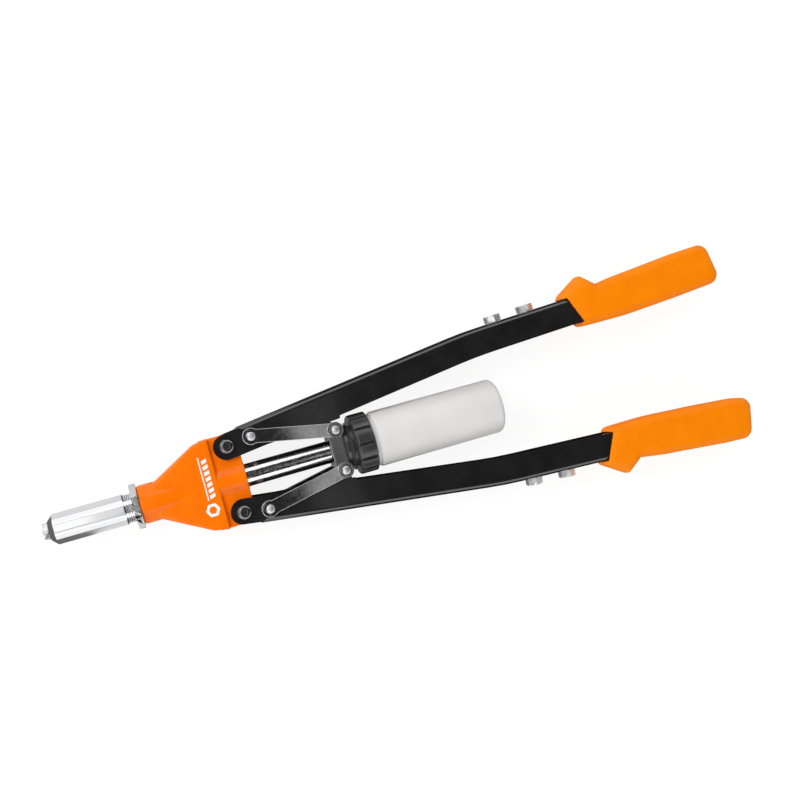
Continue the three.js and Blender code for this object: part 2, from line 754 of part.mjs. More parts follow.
function jawCase() {
  const front = [jaw_case_front, jaw_case_mouth_r];
  const profile = [front, [jaw_case_front, jaw_case_r - jaw_case_edge]];
  profile.push([jaw_case_front + jaw_case_edge, jaw_case_r], [jaw_case_rear, jaw_case_r]);
  profile.push([jaw_case_rear, jaw_case_bore_r], [jaw_cone_end, jaw_case_bore_r]);
  profile.push(front);
  return turned(profile);
}

add('crosshead', geometryOf(crosshead()), bright_steel);
add('draw_tube', drawTube(), chrome);
add('jaw_case', jawCase(), dark_steel);

// ---------------------------------------------------------------- jaws, pusher and spring
const jaw_slope = (jaw_case_bore_r - jaw_case_mouth_r) / jaw_cone_length;
const jaw_front = jaw_case_front + jaw_end_gap;
const jaw_rear = jaw_cone_end - jaw_end_gap;
const pusher_front = jaw_rear + seat_gap;
const pusher_rear = pusher_front + jaw_pusher_length;
const pusher_r = jaw_case_bore_r - slide_gap;

// One of the tapered jaws that share the case's cone, cut to its own sector.
function jaw(turn) {
  const coneAt = (x) => jaw_case_mouth_r + (x - jaw_case_front) * jaw_slope - slide_gap;
  const profile = [[jaw_front, jaw_bite_r], [jaw_front, coneAt(jaw_front)]];
  profile.push([jaw_rear, coneAt(jaw_rear)], [jaw_rear, jaw_bite_r], [jaw_front, jaw_bite_r]);
  const half_angle = Math.PI / jaw_count;
  const back = slide_gap / 2 / Math.sin(half_angle);
  const reach = 2 * jaw_case_r;
  const [side_x, side_y] = [back + reach * Math.cos(half_angle), reach * Math.sin(half_angle)];
  const sector = outline([[back, 0], [side_x, side_y], [back + 2 * reach, 0], [side_x, -side_y]]);
  const wedge = plate(sector, jaw_front - overlap, jaw_rear + overlap);
  wedge.rotateZ(turn);
  wedge.rotateY(Math.PI / 2);
  return solid(turned(profile)).intersect(solid(wedge));
}

for (let i = 0; i < jaw_count; i += 1) {
  add(`jaw_${i + 1}`, geometryOf(jaw((i * 2 * Math.PI) / jaw_count)), dark_steel);
}

function jawPusher() {
  const bore_r = nosepiece_bore_r;
  const profile = [[pusher_front, bore_r], [pusher_front, pusher_r - jaw_pusher_edge]];
  profile.push([pusher_front + jaw_pusher_edge, pusher_r], [pusher_rear, pusher_r]);
  profile.push([pusher_rear, bore_r], [pusher_front, bore_r]);
  return turned(profile, small_round);
}

class HelixCurve extends THREE.Curve {
  constructor(from, to, r, turns) {
    super();
    Object.assign(this, { from, to, r, turns });
  }

  getPoint(t) {
    const angle = t * this.turns * 2 * Math.PI;
    const x = this.from + (this.to - this.from) * t;
    return new THREE.Vector3(x, this.r * Math.cos(angle), this.r * Math.sin(angle));
  }
}

function jawSpring() {
  const spring_r = pusher_r - spring_wire_r - spring_side_gap;
  const room = spring_wire_r + seat_gap;
  const path = new HelixCurve(pusher_rear + room, tube_spigot_front - room, spring_r, spring_turns);
  const section = new THREE.Shape();
  section.absarc(0, 0, spring_wire_r, 0, 2 * Math.PI, false);
  return new THREE.ExtrudeGeometry(section, {
    steps: 12 * spring_turns,
    extrudePath: path,
    bevelEnabled: false,
    curveSegments: 4,
  });
}

add('jaw_pusher', jawPusher(), bright_steel);
add('jaw_spring', jawSpring(), spring_steel);

// ---------------------------------------------------------------- catcher cap and bottle
// The cap's outline across the tool: wide ribs with a narrow groove between each two.
function fluteOutline() {
  const shape = new THREE.Shape();
  const pitch = (2 * Math.PI) / cap_flutes;
  const half_groove = cap_flute_width / 2 / cap_r;
  const steps = 4;
  for (let i = 0; i < cap_flutes; i += 1) {
    const start = i * pitch + half_groove;
    const end = (i + 1) * pitch - half_groove;
    for (let k = 0; k <= steps; k += 1) {
      const angle = start + ((end - start) * k) / steps;
      const point = [cap_r * Math.cos(angle), cap_r * Math.sin(angle)];
      if (i + k === 0) shape.moveTo(...point);
      else shape.lineTo(...point);
    }
    const floor_r = cap_r - cap_flute_depth;
    for (const side of [-0.5, 0.5]) {
      const angle = (i + 1) * pitch + side * half_groove;
      shape.lineTo(floor_r * Math.cos(angle), floor_r * Math.sin(angle));
    }
  }
  shape.closePath();
  return shape;
}

const neck_r = cap_r - cap_wall - running_gap;

function catcherCap() {
  const fluted = plate(fluteOutline(), 0, cap_rear - cap_cone_front);
  fluted.rotateY(Math.PI / 2);
  fluted.translate(cap_cone_front, 0, 0);
  const beyond_r = cap_r + overlap;
  const edge_r = cap_r - broken_edge;
  const mask = [[cap_cone_front, 0], [cap_cone_front, cap_cone_front_r]];
  mask.push([cap_band_front, edge_r], [cap_band_front + broken_edge, beyond_r]);
  mask.push([cap_rear - overlap, beyond_r], [cap_rear, edge_r], [cap_rear, 0]);
  let body = solid(fluted).intersect(solid(turned(mask)));
  body = body.add(solid(rod(cap_front, cap_floor_x, cap_hub_r)));
  body = body.subtract(solid(rod(cap_floor_x, cap_rear + overlap, cap_r - cap_wall)));
  const tube_hole = rod(cap_front - overlap, cap_floor_x + overlap, tube_end_r + running_gap);
  return body.subtract(solid(tube_hole));
}

function catcherBottle() {
  const mouth = cap_floor_x + bottle_mouth_gap;
  const shoulder = cap_rear + slide_gap;
  const body_start = shoulder + bottle_shoulder;
  const base = cap_rear + bottle_shown;
  const profile = [[mouth, neck_r - bottle_wall], [mouth, neck_r], [shoulder, neck_r]];
  const steps = 3;
  for (let i = 1; i <= steps; i += 1) {
    const angle = (i / steps) * (Math.PI / 2);
    const r = neck_r + (bottle_r - neck_r) * Math.sin(angle);
    profile.push([shoulder + bottle_shoulder * (1 - Math.cos(angle)), r]);
  }
  for (let i = 0; i <= steps; i += 1) {
    const angle = (i / steps) * (Math.PI / 2);
    const r = bottle_r - bottle_base_round * (1 - Math.cos(angle));
    profile.push([base - bottle_base_round * (1 - Math.sin(angle)), r]);
  }
  profile.push([base, 0], [base - bottle_wall, 0]);
  profile.push([base - bottle_wall, bottle_r - bottle_base_round]);
  profile.push([base - bottle_base_round, bottle_r - bottle_wall]);
  profile.push([body_start, bottle_r - bottle_wall], [shoulder, neck_r - bottle_wall]);
  profile.push([mouth, neck_r - bottle_wall]);
  return turned(profile);
}

add('catcher_cap', geometryOf(catcherCap()), black_plastic);
add('catcher_bottle', catcherBottle(), milky_plastic);

// ---------------------------------------------------------------- stand it on its lowest point
tool.updateMatrixWorld(true);
const extent = new THREE.Box3().setFromObject(tool, true);
tool.position.set(-(extent.min.x + extent.max.x) / 2, 0, -extent.min.z);

export default tool;
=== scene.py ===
"""Looks of a long-arm hand riveter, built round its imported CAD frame.

Lengths are millimetres in the tool's own axes: X along the pulling axis with X = 0 at the nose,
Y across the handles, Z up, and the pulling axis at Z = 0. Every mesh goes to the row frame, in
metres, in its last step. The +Y side is "right" and the -Y side "left".
"""

import math
from functools import partial

import bmesh
import bpy
import numpy as np
from mathutils import Matrix, Vector


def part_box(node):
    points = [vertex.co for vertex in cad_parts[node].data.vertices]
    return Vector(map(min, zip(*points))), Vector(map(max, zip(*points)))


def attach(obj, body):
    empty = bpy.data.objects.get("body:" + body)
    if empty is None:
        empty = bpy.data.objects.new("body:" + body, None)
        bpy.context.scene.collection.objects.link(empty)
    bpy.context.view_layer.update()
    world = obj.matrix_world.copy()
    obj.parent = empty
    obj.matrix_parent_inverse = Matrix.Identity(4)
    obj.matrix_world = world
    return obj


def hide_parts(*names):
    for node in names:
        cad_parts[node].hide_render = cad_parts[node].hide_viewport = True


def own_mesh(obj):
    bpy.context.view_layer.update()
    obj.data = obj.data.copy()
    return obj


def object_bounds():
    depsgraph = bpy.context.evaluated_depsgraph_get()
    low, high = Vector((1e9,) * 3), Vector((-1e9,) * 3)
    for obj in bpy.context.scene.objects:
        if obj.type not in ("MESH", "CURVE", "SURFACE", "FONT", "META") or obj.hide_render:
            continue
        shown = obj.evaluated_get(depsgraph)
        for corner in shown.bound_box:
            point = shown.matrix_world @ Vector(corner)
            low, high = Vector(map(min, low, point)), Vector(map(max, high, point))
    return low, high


MM = 0.001
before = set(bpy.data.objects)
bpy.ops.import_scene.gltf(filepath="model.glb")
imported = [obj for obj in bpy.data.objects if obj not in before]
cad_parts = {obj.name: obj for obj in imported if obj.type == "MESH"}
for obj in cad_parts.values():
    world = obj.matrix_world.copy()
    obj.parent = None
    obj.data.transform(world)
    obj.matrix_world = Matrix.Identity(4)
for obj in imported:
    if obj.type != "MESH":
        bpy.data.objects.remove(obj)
cad_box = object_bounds()
scene = bpy.context.scene

nose_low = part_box("nosepiece_fitted")[0]
tube_low, tube_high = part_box("draw_tube")
ORIGIN = Vector((nose_low.x, 0.0, (tube_low.z + tube_high.z) / 2))
TO_ROW = Matrix.Translation(ORIGIN) @ Matrix.Scale(MM, 4)


class Cad:
    """The box of a CAD node, in the tool's axes."""

    def __init__(self, node):
        low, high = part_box(node)
        self.low, self.high = (low - ORIGIN) / MM, (high - ORIGIN) / MM
        self.mid, self.size = (self.low + self.high) / 2, self.high - self.low


# ------------------------------------------------------------------------------ camera
CAMERA_STAND = Vector((92.28, 47.89, 701.63))
CAMERA_AIM = Vector((257.90, 22.25, 0.0))
CAMERA_HEADING = math.radians(-15.28)  # of the picture's right-hand direction, on the floor
CAMERA_LENS = 44.97


def add_camera():
    ahead = (CAMERA_AIM - CAMERA_STAND).normalized()
    run, rise = math.cos(CAMERA_HEADING), math.sin(CAMERA_HEADING)
    right = Vector((run, rise, -(ahead.x * run + ahead.y * rise) / ahead.z)).normalized()
    up = right.cross(ahead)
    turn = Matrix((right, up, -ahead)).transposed().to_4x4()
    camera = bpy.data.cameras.new("camera")
    camera.lens = CAMERA_LENS
    camera.clip_start, camera.clip_end = 0.01, 50
    holder = bpy.data.objects.new("camera", camera)
    holder.matrix_world = Matrix.Translation(TO_ROW @ CAMERA_STAND) @ turn
    scene.collection.objects.link(holder)
    scene.camera = holder


add_camera()

# ------------------------------------------------------------------------------ outlines
ARC_STEP = math.radians(9)


def rounded(corners, closed=True):
    """Points of an outline, from corners (x, y, radius) that are each rounded to their radius."""
    points, last = [], len(corners) - 1
    for i, (x, y, radius) in enumerate(corners):
        here = Vector((x, y))
        if not radius or (not closed and i in (0, last)):
            points.append((x, y))
            continue
        back = (Vector(corners[i - 1][:2]) - here).normalized()
        onward = (Vector(corners[(i + 1) % len(corners)][:2]) - here).normalized()
        half = back.angle(onward) / 2
        centre = here + (back + onward).normalized() * radius / math.sin(half)
        start = here + back * radius / math.tan(half) - centre
        sweep = math.copysign(math.pi - 2 * half, -back.x * onward.y + back.y * onward.x)
        steps = max(2, math.ceil(abs(sweep) / ARC_STEP))
        for k in range(steps + 1):
            spoke = Matrix.Rotation(sweep * k / steps, 2) @ start
            points.append((centre.x + spoke.x, centre.y + spoke.y))
    return points


def arc(x, y, radius, start, end, steps):
    turns = [start + (end - start) * i / steps for i in range(steps + 1)]
    return [(x + radius * math.cos(a), y + radius * math.sin(a)) for a in turns]


def hexagon(flats, turn=0.0):
    return arc(0, 0, flats / math.sqrt(3), turn, turn + math.tau, 6)[:-1]


# ------------------------------------------------------------------------------ meshes
def as_mesh(bm):
    bmesh.ops.recalc_face_normals(bm, faces=bm.faces)
    mesh = bpy.data.meshes.new("made")
    bm.to_mesh(mesh)
    bm.free()
    return mesh


def skinned(bm, loops, around=True, onward=False):
    """Joins loops of vertices with faces. A loop of one vertex is a pole."""
    count = max(len(loop) for loop in loops)
    for one, two in zip(loops, loops[1:] + (loops[:1] if onward else [])):
        for i in range(count if around else count - 1):
            j = (i + 1) % count
            corners = (one[i % len(one)], one[j % len(one)], two[j % len(two)], two[i % len(two)])
            face = list(dict.fromkeys(corners))
            if len(face) > 2:
                bm.faces.new(face)


def turned(profile, segments=96):
    """A profile of (x, radius) turned about X. One that ends where it starts makes a ring."""
    bm, loops = bmesh.new(), []
    ring = profile[0] == profile[-1]
    for x, r in profile[:-1] if ring else profile:
        spokes = [math.tau * i / segments for i in range(segments)] if r else [0.0]
        loops.append([bm.verts.new((x, r * math.cos(a), r * math.sin(a))) for a in spokes])
    skinned(bm, loops, onward=ring)
    return as_mesh(bm)


def plate(outline, low, high):
    """A flat outline in XY given a thickness in Z."""
    bm = bmesh.new()
    levels = [[bm.verts.new((x, y, z)) for x, y in outline] for z in (low, high)]
    for level in levels:
        bm.faces.new(level)
    skinned(bm, levels)
    return as_mesh(bm)


def moved(mesh, *matrices):
    for matrix in matrices:
        mesh.transform(matrix)
        if matrix.determinant() < 0:
            mesh.flip_normals()
    return mesh


TO_UPRIGHT = Matrix.Rotation(-math.pi / 2, 4, "Y")  # turns +X up to +Z
ALONG_X = Matrix.Rotation(math.pi / 2, 4, "Y")  # turns +Z round to +X


def at(x, y, z=0.0):
    return Matrix.Translation((x, y, z))


def upright(x, y, profile, segments=48):
    """A profile of (z, radius) turned about an upright axis at (x, y)."""
    return moved(turned(profile, segments), TO_UPRIGHT, at(x, y))


def rod(x, y, radius, low, high, segments=48):
    return upright(x, y, [(low, 0), (low, radius), (high, radius), (high, 0)], segments)


def changed(mesh, *steps):
    """The mesh after some modifiers, each given as (type, settings)."""
    work = bpy.data.objects.new("work", mesh)
    scene.collection.objects.link(work)
    for kind, settings in steps:
        modifier = work.modifiers.new(kind, kind)
        for name, value in settings.items():
            setattr(modifier, name, value)
    made = bpy.data.meshes.new_from_object(work.evaluated_get(bpy.context.evaluated_depsgraph_get()))
    bpy.data.objects.remove(work)
    bpy.data.meshes.remove(mesh)
    return made


def combined(operation, mesh, *others):
    for other in others:
        tool = bpy.data.objects.new("tool", other)
        scene.collection.objects.link(tool)
        mesh = changed(mesh, ("BOOLEAN", {"operation": operation, "object": tool}))
        bpy.data.objects.remove(tool)
        bpy.data.meshes.remove(other)
    return mesh


cut = partial(combined, "DIFFERENCE")
common = partial(combined, "INTERSECT")
joined = partial(combined, "UNION")


def eased(mesh, width, segments=2, angle=30):
    """The mesh with its sharp edges rounded over."""
    settings = {"width": width, "segments": segments, "limit_method": "ANGLE"}
    return changed(mesh, ("BEVEL", {**settings, "angle_limit": math.radians(angle)}))


# ------------------------------------------------------------------------------ cast and moulded forms
# A form is a distance from its surface, negative inside, worked out on a grid of points.
def fillet_join(a, b, radius):
    """Either form, with a fillet where they meet."""
    reach = np.hypot(np.maximum(radius - a, 0), np.maximum(radius - b, 0))
    return np.maximum(radius, np.minimum(a, b)) - reach


def round_common(a, b, radius):
    """What two forms share, rounded over where they meet."""
    reach = np.hypot(np.maximum(radius + a, 0), np.maximum(radius + b, 0))
    return np.minimum(-radius, np.maximum(a, b)) + reach


def outline_distance(outline, x, y):
    nearest, inside = np.full(np.broadcast(x, y).shape, np.inf), False
    for (ax, ay), (bx, by) in zip(outline, outline[1:] + outline[:1]):
        ex, ey = bx - ax, by - ay
        wx, wy = x - ax, y - ay
        along = np.clip((wx * ex + wy * ey) / (ex * ex + ey * ey), 0, 1)
        nearest = np.minimum(nearest, (wx - ex * along) ** 2 + (wy - ey * along) ** 2)
        if ay != by:
            inside = inside ^ (((ay > y) != (by > y)) & (x < ex * (y - ay) / (by - ay) + ax))
    return np.where(inside, -1.0, 1.0) * np.sqrt(nearest)


def formed(distance, low, high, cell):
    """A mesh of the surface where distance(x, y, z) is zero, one vertex to a cell it crosses."""
    axes = [np.arange(a, b + cell, cell) for a, b in zip(low, high)]
    field = distance(*np.meshgrid(*axes, indexing="ij", sparse=True))
    field = np.broadcast_to(field, [len(a) for a in axes])
    total, count = np.zeros([n - 1 for n in field.shape] + [3]), np.zeros([n - 1 for n in field.shape])
    crossings = []
    for axis in range(3):
        others = [a for a in range(3) if a != axis]
        inner = [slice(1, -1)] * 3
        inner[axis] = slice(None)
        ahead, behind = list(inner), list(inner)
        ahead[axis], behind[axis] = slice(1, None), slice(None, -1)
        first, second = field[tuple(behind)], field[tuple(ahead)]
        where = np.argwhere((first < 0) != (second < 0))
        a, b = first[tuple(where.T)], second[tuple(where.T)]
        where[:, others] += 1
        point = where.astype(float)
        point[:, axis] += a / (a - b)
        ring = []
        for da, db in ((0, 0), (-1, 0), (-1, -1), (0, -1)):
            cell_at = where.copy()
            cell_at[:, others[0]] += da
            cell_at[:, others[1]] += db
            np.add.at(total, tuple(cell_at.T), point)
            np.add.at(count, tuple(cell_at.T), 1)
            ring.append(cell_at)
        crossings.append(ring)
    used = count > 0
    number = np.full(count.shape, -1)
    number[used] = np.arange(used.sum())
    points = total[used] / count[used][:, None] * cell + np.array([a[0] for a in axes])
    faces = np.concatenate([np.stack([number[tuple(c.T)] for c in ring], 1) for ring in crossings])
    mesh = bpy.data.meshes.new("formed")
    mesh.from_pydata(points.tolist(), [], faces.tolist())
    bm = bmesh.new()
    bm.from_mesh(mesh)
    bpy.data.meshes.remove(mesh)
    return as_mesh(bm)


# ------------------------------------------------------------------------------ material nodes
class Graph:
    """Adds nodes to a node tree with fewer words."""

    def __init__(self, owner):
        owner.use_nodes = True
        self.tree = owner.node_tree
        self.tree.nodes.clear()

    def add(self, kind, inputs=(), **settings):
        node = self.tree.nodes.new(f"ShaderNode{kind}")
        for name, value in settings.items():
            setattr(node, name, value)
        for name, value in dict(inputs).items():
            if isinstance(value, bpy.types.NodeSocket):
                self.tree.links.new(value, node.inputs[name])
            else:
                node.inputs[name].default_value = value
        return node

    def math(self, operation, *values):
        return self.add("Math", dict(enumerate(values)), operation=operation).outputs[0]

    def ramp(self, value, start, end, low=0.0, high=1.0):
        """value from start to end, eased, as a number from low to high."""
        inputs = {"Value": value, "From Min": start, "From Max": end, "To Min": low, "To Max": high}
        node = self.add("MapRange", inputs, interpolation_type="SMOOTHSTEP")
        return node.outputs["Result"]

    def noise(self, place, scale, detail=3.0, stretch=(1, 1, 1)):
        placed = self.add("Mapping", {"Vector": place, "Scale": stretch}).outputs["Vector"]
        inputs = {"Vector": placed, "Scale": scale, "Detail": detail}
        return self.add("TexNoise", inputs).outputs["Fac"]

    def mix(self, share, one, two):
        inputs = {"Factor": share}
        node = self.add("Mix", inputs, data_type="RGBA")
        for socket, value in ((node.inputs[6], one), (node.inputs[7], two)):
            if isinstance(value, bpy.types.NodeSocket):
                self.tree.links.new(value, socket)
            else:
                socket.default_value = (*value, 1)
        return node.outputs[2]


def finish(
    name, colour, second, roughness, mottle=90, streak=(1, 1, 1), grain=900, depth=0.00002, **shader
):
    """A Principled material. Its colour wanders from colour to second over patches, its roughness
    over the range given, and its bump is a grain of that depth in metres."""
    material = bpy.data.materials.new(name)
    graph = Graph(material)
    place = graph.add("TexCoord").outputs["Object"]
    patches = graph.noise(place, mottle, 4.0, streak)
    fine = graph.noise(place, grain, 2.0, streak)
    inputs = {
        "Base Color": graph.mix(graph.ramp(patches, 0.35, 0.65), colour, second),
        "Roughness": graph.ramp(fine, 0.3, 0.7, *roughness),
    }
    bump = graph.add("Bump", {"Height": fine, "Distance": depth, "Strength": 1.0})
    inputs["Normal"] = bump.outputs["Normal"]
    bsdf = graph.add("BsdfPrincipled", {**inputs, **shader})
    graph.add("OutputMaterial", {"Surface": bsdf.outputs[0]})
    return material


LENGTHWISE = (0.06, 1, 1)  # stretches a pattern along the tool
orange_enamel = finish(
    "orange_enamel", (0.94, 0.176, 0.0), (0.90, 0.158, 0.0), (0.24, 0.32), grain=700,
    depth=0.00001, **{"Coat Weight": 0.2, "Coat Roughness": 0.05, "Specular IOR Level": 0.1},
)
orange_grip = finish(
    "orange_grip", (0.95, 0.240, 0.0), (0.92, 0.224, 0.0), (0.40, 0.50), grain=1600, depth=0.00003,
    **{"Specular IOR Level": 0.1},
)
black_enamel = finish(
    "black_enamel", (0.0095, 0.0092, 0.0092), (0.014, 0.0135, 0.0135), (0.09, 0.15), grain=600,
    mottle=60, depth=0.000003,
    **{"Coat Weight": 0.3, "Coat Roughness": 0.05, "Specular IOR Level": 0.8},
)
chrome_plate = finish(
    "chrome_plate", (0.86, 0.86, 0.87), (0.80, 0.80, 0.81), (0.05, 0.11), grain=300,
    streak=LENGTHWISE, depth=0.000004, Metallic=1.0,
)
link_plate = finish(
    "link_plate", (0.78, 0.78, 0.79), (0.70, 0.70, 0.71), (0.05, 0.09), grain=400, depth=0.0000006,
    Metallic=1.0,
)
tube_plate = finish(
    "tube_plate", (0.84, 0.84, 0.85), (0.74, 0.74, 0.75), (0.05, 0.24), mottle=500, grain=1300,
    streak=(0.35, 1, 1), depth=0.000006, Metallic=1.0,
)
ground_steel = finish(
    "ground_steel", (0.48, 0.48, 0.485), (0.41, 0.41, 0.415), (0.10, 0.16), grain=500,
    streak=(1, 0.15, 1), depth=0.0000015, Metallic=1.0,
)
pin_steel = finish(
    "pin_steel", (0.90, 0.90, 0.91), (0.74, 0.74, 0.75), (0.34, 0.5), mottle=700, grain=900,
    depth=0.000004, Metallic=1.0,
)
bright_steel = finish(
    "bright_steel", (0.68, 0.68, 0.69), (0.58, 0.58, 0.59), (0.20, 0.30), grain=700,
    depth=0.000003, Metallic=1.0,
)
dark_steel = finish(
    "dark_steel", (0.20, 0.20, 0.203), (0.26, 0.26, 0.263), (0.14, 0.2), grain=800,
    depth=0.000003, Metallic=1.0,
)
spring_steel = finish(
    "spring_steel", (0.45, 0.45, 0.46), (0.35, 0.35, 0.36), (0.25, 0.35), Metallic=1.0
)
black_plastic = finish(
    "black_plastic", (0.034, 0.0338, 0.034), (0.046, 0.0457, 0.046), (0.18, 0.26), grain=1200,
    depth=0.000006, **{"Specular IOR Level": 0.6},
)
milky_plastic = finish(
    "milky_plastic", (0.70, 0.69, 0.68), (0.74, 0.73, 0.72), (0.38, 0.46), grain=500,
    mottle=25, depth=0.00002,
    **{"Subsurface Weight": 0.5, "Subsurface Radius": (0.006, 0.006, 0.0055)},
)
white_paint = finish("white_paint", (0.88, 0.88, 0.87), (0.82, 0.82, 0.81), (0.35, 0.45))


# ------------------------------------------------------------------------------ pieces
FLAT_SHADE_ANGLE = math.radians(34)


def piece(name, mesh, body, nodes, material):
    """Puts a finished mesh in the row frame, where it moves with body and stands for nodes."""
    for polygon in mesh.polygons:
        polygon.use_smooth = True
    mesh.set_sharp_from_angle(angle=FLAT_SHADE_ANGLE)
    mesh = changed(mesh, ("WEIGHTED_NORMAL", {"keep_sharp": True}))
    mesh.transform(TO_ROW)
    mesh.name = name
    mesh.materials.clear()
    mesh.materials.append(material)
    made = bpy.data.objects.new(name, mesh)
    scene.collection.objects.link(made)
    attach(made, body)
    if nodes:
        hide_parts(*nodes)
    return made


MIRROR_Y = Matrix.Scale(-1, 4, (0, 1, 0))
MIRROR_Z = Matrix.Scale(-1, 4, (0, 0, 1))


def pair(name, mesh, body, material, suffix=""):
    """A piece built on the right, and its mirror image on the left."""
    twin = moved(mesh.copy(), MIRROR_Y)
    for side, made in (("right", mesh), ("left", twin)):
        full = f"{name}_{side}{suffix}"
        piece(f"look_{full}", made, body.replace("SIDE", side), [full], material)


# ------------------------------------------------------------------------------ nose and sleeve
def hex_bar(length, flats, turned_off, turn):
    """A hexagonal bar along X from 0, with turned_off taken from its corners at both ends."""
    bar = moved(plate(hexagon(flats), 0, length), ALONG_X, Matrix.Rotation(turn, 4, "X"))
    corner_r = flats / math.sqrt(3) + 0.01
    face_r, slope = corner_r - turned_off, turned_off * 0.5
    profile = [(0, 0), (0, face_r), (slope, corner_r)]
    profile += [(length - slope, corner_r), (length, face_r), (length, 0)]
    return common(bar, turned(profile, 72))


NOSEPIECE_BORE_R = 2.5
NOSEPIECE_THREAD_R = 4.5
NOSEPIECE_TAIL = 1.6


def thread(start, end, radius, pitch=1.0, depth=0.55):
    """Profile points of a thread from start to end."""
    points, crest = [], start
    while crest + pitch <= end:
        points += [(crest, radius - depth), (crest + pitch * 0.38, radius)]
        points += [(crest + pitch * 0.58, radius), (crest + pitch * 0.96, radius - depth)]
        crest += pitch
    return points


def nosepiece(head, length):
    """A nosepiece along X with its hexagon from 0 to head."""
    tail = length - NOSEPIECE_TAIL
    profile = [(head - 0.6, 0), (head - 0.6, NOSEPIECE_THREAD_R - 0.4)]
    profile += thread(head + 0.2, tail - 0.3, NOSEPIECE_THREAD_R)
    profile += [(tail, NOSEPIECE_THREAD_R - 0.4), (length, NOSEPIECE_BORE_R + 0.8), (length, 0)]
    cone = [(-1, 0), (-1, NOSEPIECE_BORE_R + 1.4), (0.5, NOSEPIECE_BORE_R), (length + 1, NOSEPIECE_BORE_R)]
    blank = joined(hex_bar(head, Cad("nosepiece_fitted").size.y, 0.6, 0), turned(profile, 48))
    return eased(cut(blank, turned(cone + [(length + 1, 0)], 48)), 0.12, 2, 25)


def front_sleeve():
    sleeve = Cad("front_sleeve")
    nut, barrel_front = Cad("sleeve_lock_nut"), sleeve.low.x
    r, body_end = sleeve.high.y, nut.low.x - 5.6
    bore_r, hole_r = r - 2.7, NOSEPIECE_THREAD_R + 0.15
    profile = [(barrel_front, hole_r, 0), (barrel_front, r - 3.7, 0.4)]
    profile += [(barrel_front + 3.7, r, 0.5), (body_end, r, 0.5), (body_end, r - 1.0, 0)]
    outer = rounded(profile, closed=False)
    outer += thread(body_end + 0.3, sleeve.high.x - 0.5, r - 0.7, 1.25, 0.7)
    outer += [(sleeve.high.x, r - 1.3), (sleeve.high.x, bore_r), (barrel_front + 6, bore_r)]
    outer += [(barrel_front + 6, hole_r), (barrel_front, hole_r)]
    return turned(outer, 128)


def lock_nut():
    nut = Cad("sleeve_lock_nut")
    flats = nut.size.y * math.cos(math.pi / 6)
    body = moved(hex_bar(nut.size.x, flats, 0.8, math.pi / 6), at(nut.low.x, 0))
    hole = [(nut.low.x - 1, 0), (nut.low.x - 1, 11.1), (nut.low.x + 0.35, 9.75)]
    hole += [(nut.high.x - 0.35, 9.75), (nut.high.x + 1, 11.1), (nut.high.x + 1, 0)]
    return eased(cut(body, turned(hole, 72)), 0.2, 2, 25)


fitted = Cad("nosepiece_fitted")
piece(
    "look_nosepiece_fitted", nosepiece(3.8, fitted.high.x), "head", ["nosepiece_fitted"],
    pin_steel,
)
piece("look_front_sleeve", front_sleeve(), "head", ["front_sleeve"], chrome_plate)
piece("look_sleeve_lock_nut", lock_nut(), "head", ["sleeve_lock_nut"], link_plate)

# ------------------------------------------------------------------------------ head casting
casting = Cad("head_casting")
right_screw = Cad("pivot_screw_right")
PIVOT = Vector((right_screw.mid.x, right_screw.mid.y))
STEP_X = PIVOT.x - 11.7
BARREL_R = casting.high.z
WEDGE_HALF = 10.5
REAR_HALF = 7.2
BOSS_R = 10.6
BARREL_TAPER = 3.9  # how much thinner the barrel is where it sinks into the wedge
BARREL_LENGTH = 40
TAPER_START = 9  # behind the barrel's front
TAPER_LENGTH = 27
SLEEVE_HOLE_R = 9.95
SLEEVE_HOLE_END = 85.1
TUBE_HOLE_R = 8.15
PIVOT_HOLE_R = 3.15
HEAD_HALF_WIDTH = 34.05
HEAD_HALF_HEIGHT = 15.1


